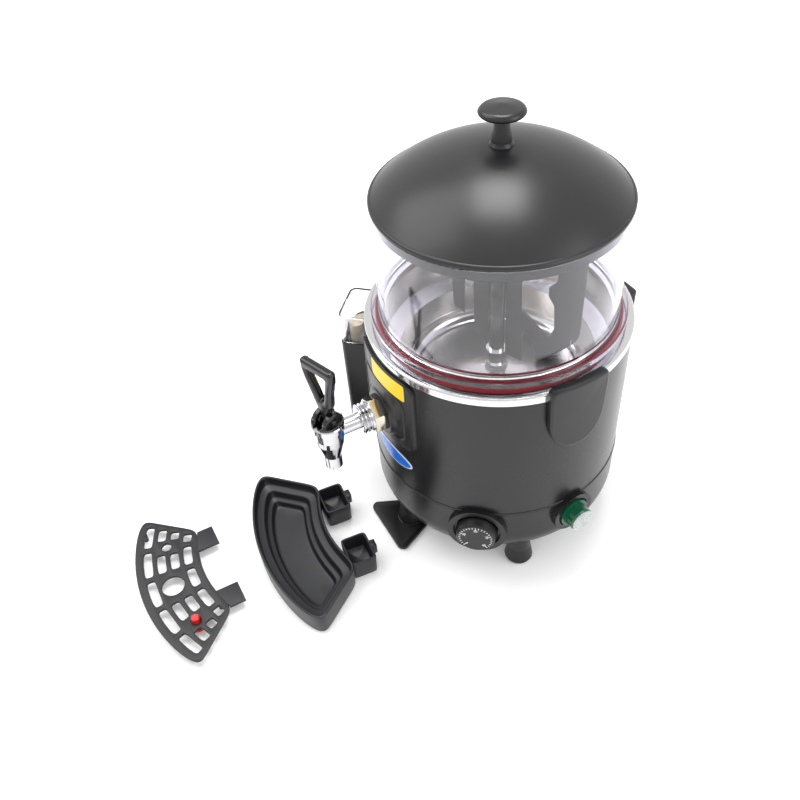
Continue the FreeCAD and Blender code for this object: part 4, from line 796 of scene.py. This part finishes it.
def slabs(name, centres, angles, longs, wide, thick):
    # Thin slabs on a face: each is a unit box scaled, turned by its angle and moved to its centre.
    unit = np.array([[x, y, z] for z in (0, 1) for y in (-0.5, 0.5) for x in (-0.5, 0.5)])
    size = np.stack([longs, np.full(len(longs), wide), np.full(len(longs), thick)], axis=-1)
    points = unit[None] * size[:, None]
    c, s = np.cos(angles)[:, None], np.sin(angles)[:, None]
    x = points[..., 0] * c - points[..., 1] * s + centres[:, None, 0]
    y = points[..., 0] * s + points[..., 1] * c + centres[:, None, 1]
    points = np.stack([x, y, points[..., 2]], axis=-1).reshape(-1, 3)
    quads = np.array([[0, 2, 3, 1], [4, 5, 7, 6], [0, 1, 5, 4], [2, 6, 7, 3], [0, 4, 6, 2],
                      [1, 3, 7, 5]])
    faces = (quads[None] + 8 * np.arange(len(longs))[:, None, None]).reshape(-1, 4)
    mesh = bpy.data.meshes.new(name)
    mesh.from_pydata(points.tolist(), [], faces.tolist())
    return mesh


def wordMesh(name, words, size, thick):
    # Raised figures: a font curve made a mesh before its place is applied.
    curve = bpy.data.curves.new(name + "_curve", "FONT")
    curve.body, curve.size, curve.extrude = words, size, thick
    curve.align_x, curve.align_y = "CENTER", "CENTER"
    return meshFromCurve(name, curve)


def makeDialScale():
    # Ticks round the dial's face, each sixth one longer and numbered.
    reach = highestAlong("thermostat_dial", dial["turn"])
    spot = facing(dial["turn"], reach, dial["height"])
    angles = np.linspace(deg(dial["first"]), deg(dial["last"]), dial["ticks"])
    numbered = np.arange(dial["ticks"]) % dial["each"] == 0
    longs = np.where(numbered, dial["tickLong"], dial["tickShort"])
    middles = (dial["radius"] - longs / 2)[:, None]
    centres = np.stack([np.cos(angles), np.sin(angles)], axis=-1) * middles
    ticks = slabs("dial_ticks", centres, angles, longs, dial["tickWide"], dial["face"])
    ticks.transform(spot)
    addPiece("dial_ticks", ticks, "markWhite", "dial")
    half = dial["face"] / 2
    for n, words in enumerate(dial["numbers"]):
        angle = angles[n * dial["each"]]
        mesh = wordMesh("dial_number_%d" % n, words, dial["numberSize"], half)
        place = Matrix.Translation((dial["numberRadius"] * math.cos(angle),
                                    dial["numberRadius"] * math.sin(angle), half))
        mesh.transform(spot @ place @ Matrix.Rotation(angle - deg(90), 4, "Z"))
        addPiece("dial_number_%d" % n, mesh, "markWhite", "dial")


makeDialScale()
print("dial")

button = {"turn": 4.0, "height": 0.082, "radius": 0.0121, "rings": 4, "ringDeep": 0.0004,
          "thick": 0.0006, "edge": 0.0002, "sunk": 0.0001, "points": 60}


def makeButtonFace():
    # A disc whose height ripples as cos(2 pi rings r / R), falling to its edge.
    reach = highestAlong("power_button", button["turn"])
    share = np.linspace(0, 1, button["points"])
    height = button["thick"] + button["ringDeep"] * np.cos(2 * np.pi * button["rings"] * share)
    profile = np.stack([share * button["radius"], height], axis=-1)
    rim = button["radius"] + button["edge"]
    profile = np.concatenate([profile, [[rim, button["edge"]], [rim, -button["sunk"]]]])
    mesh = spun("button_face", profile)
    mesh.transform(facing(button["turn"], reach, button["height"]))
    addPiece("button_face", mesh, "buttonFace", "button", 60)


makeButtonFace()
print("button")

studio = {"floorSize": 30.0, "floorDrop": 0.0002, "floorColour": (0.92, 0.92, 0.92, 1),
          "floorGlow": 0.12, "white": (1, 1, 1, 1), "worldStrength": 1.0}
# Lamps: place, the point each is aimed at, side of its square and power.
lamps = {
    "keyLamp": ((-0.9, -0.9, 1.9), (0, 0, 0.25), 1.4, 20),
    "fillLamp": ((1.4, 0.9, 1.4), (0, 0, 0.25), 1.2, 12),
    "topLamp": ((-0.35, 0.22, 2.1), (0, 0, 0.3), 0.8, 24),
}
camera = {"place": (0.5662, -0.3748, 0.7996), "right": (0.4678, 0.8818, -0.0601),
          "up": (-0.5966, 0.3652, 0.7146), "back": (0.6521, -0.2984, 0.6969),
          "lens": 38.25, "sensor": 36, "clip": (0.02, 60)}


def makeFloor():
    half = studio["floorSize"] / 2
    side = np.linspace(-half, half, 3)
    x, y = np.meshgrid(side, side)
    mesh = gridMesh("floor", np.stack([x, y, np.full_like(x, -studio["floorDrop"])], axis=-1))
    material, _ = newMaterial("floorPaper", Base_Color=studio["floorColour"], Roughness=0.7,
                              Emission_Color=studio["white"], Emission_Strength=studio["floorGlow"])
    mesh.materials.append(material)
    floor = addObject("floor", mesh)


def addLamp(name, place, target, side, power):
    lamp = bpy.data.lights.new(name, "AREA")
    lamp.shape, lamp.size, lamp.size_y, lamp.energy = "RECTANGLE", side, side, power
    holder = addObject(name, lamp)
    holder.location = place
    holder.rotation_euler = (Vector(target) - Vector(place)).to_track_quat("-Z", "Y").to_euler()


def makeWorld():
    world = bpy.data.worlds.new("studio")
    bpy.context.scene.world = world
    world.use_nodes = True
    background = world.node_tree.nodes["Background"]
    background.inputs["Color"].default_value = studio["white"]
    background.inputs["Strength"].default_value = studio["worldStrength"]
    # Plain sRGB, so that white paper comes out white.
    bpy.context.scene.view_settings.view_transform = "Standard"


def makeCamera():
    data = bpy.data.cameras.new("camera")
    data.sensor_width, data.lens = camera["sensor"], camera["lens"]
    data.clip_start, data.clip_end = camera["clip"]
    holder = addObject("camera", data)
    axes = [Vector(camera[name]) for name in ("right", "up", "back")]
    matrix = Matrix(axes).transposed().to_4x4()
    matrix.translation = camera["place"]
    holder.matrix_world = matrix
    bpy.context.scene.camera = holder


makeFloor()
makeWorld()
makeCamera()
for name, (place, target, side, power) in lamps.items():
    addLamp(name, place, target, side, power)
print("studio")
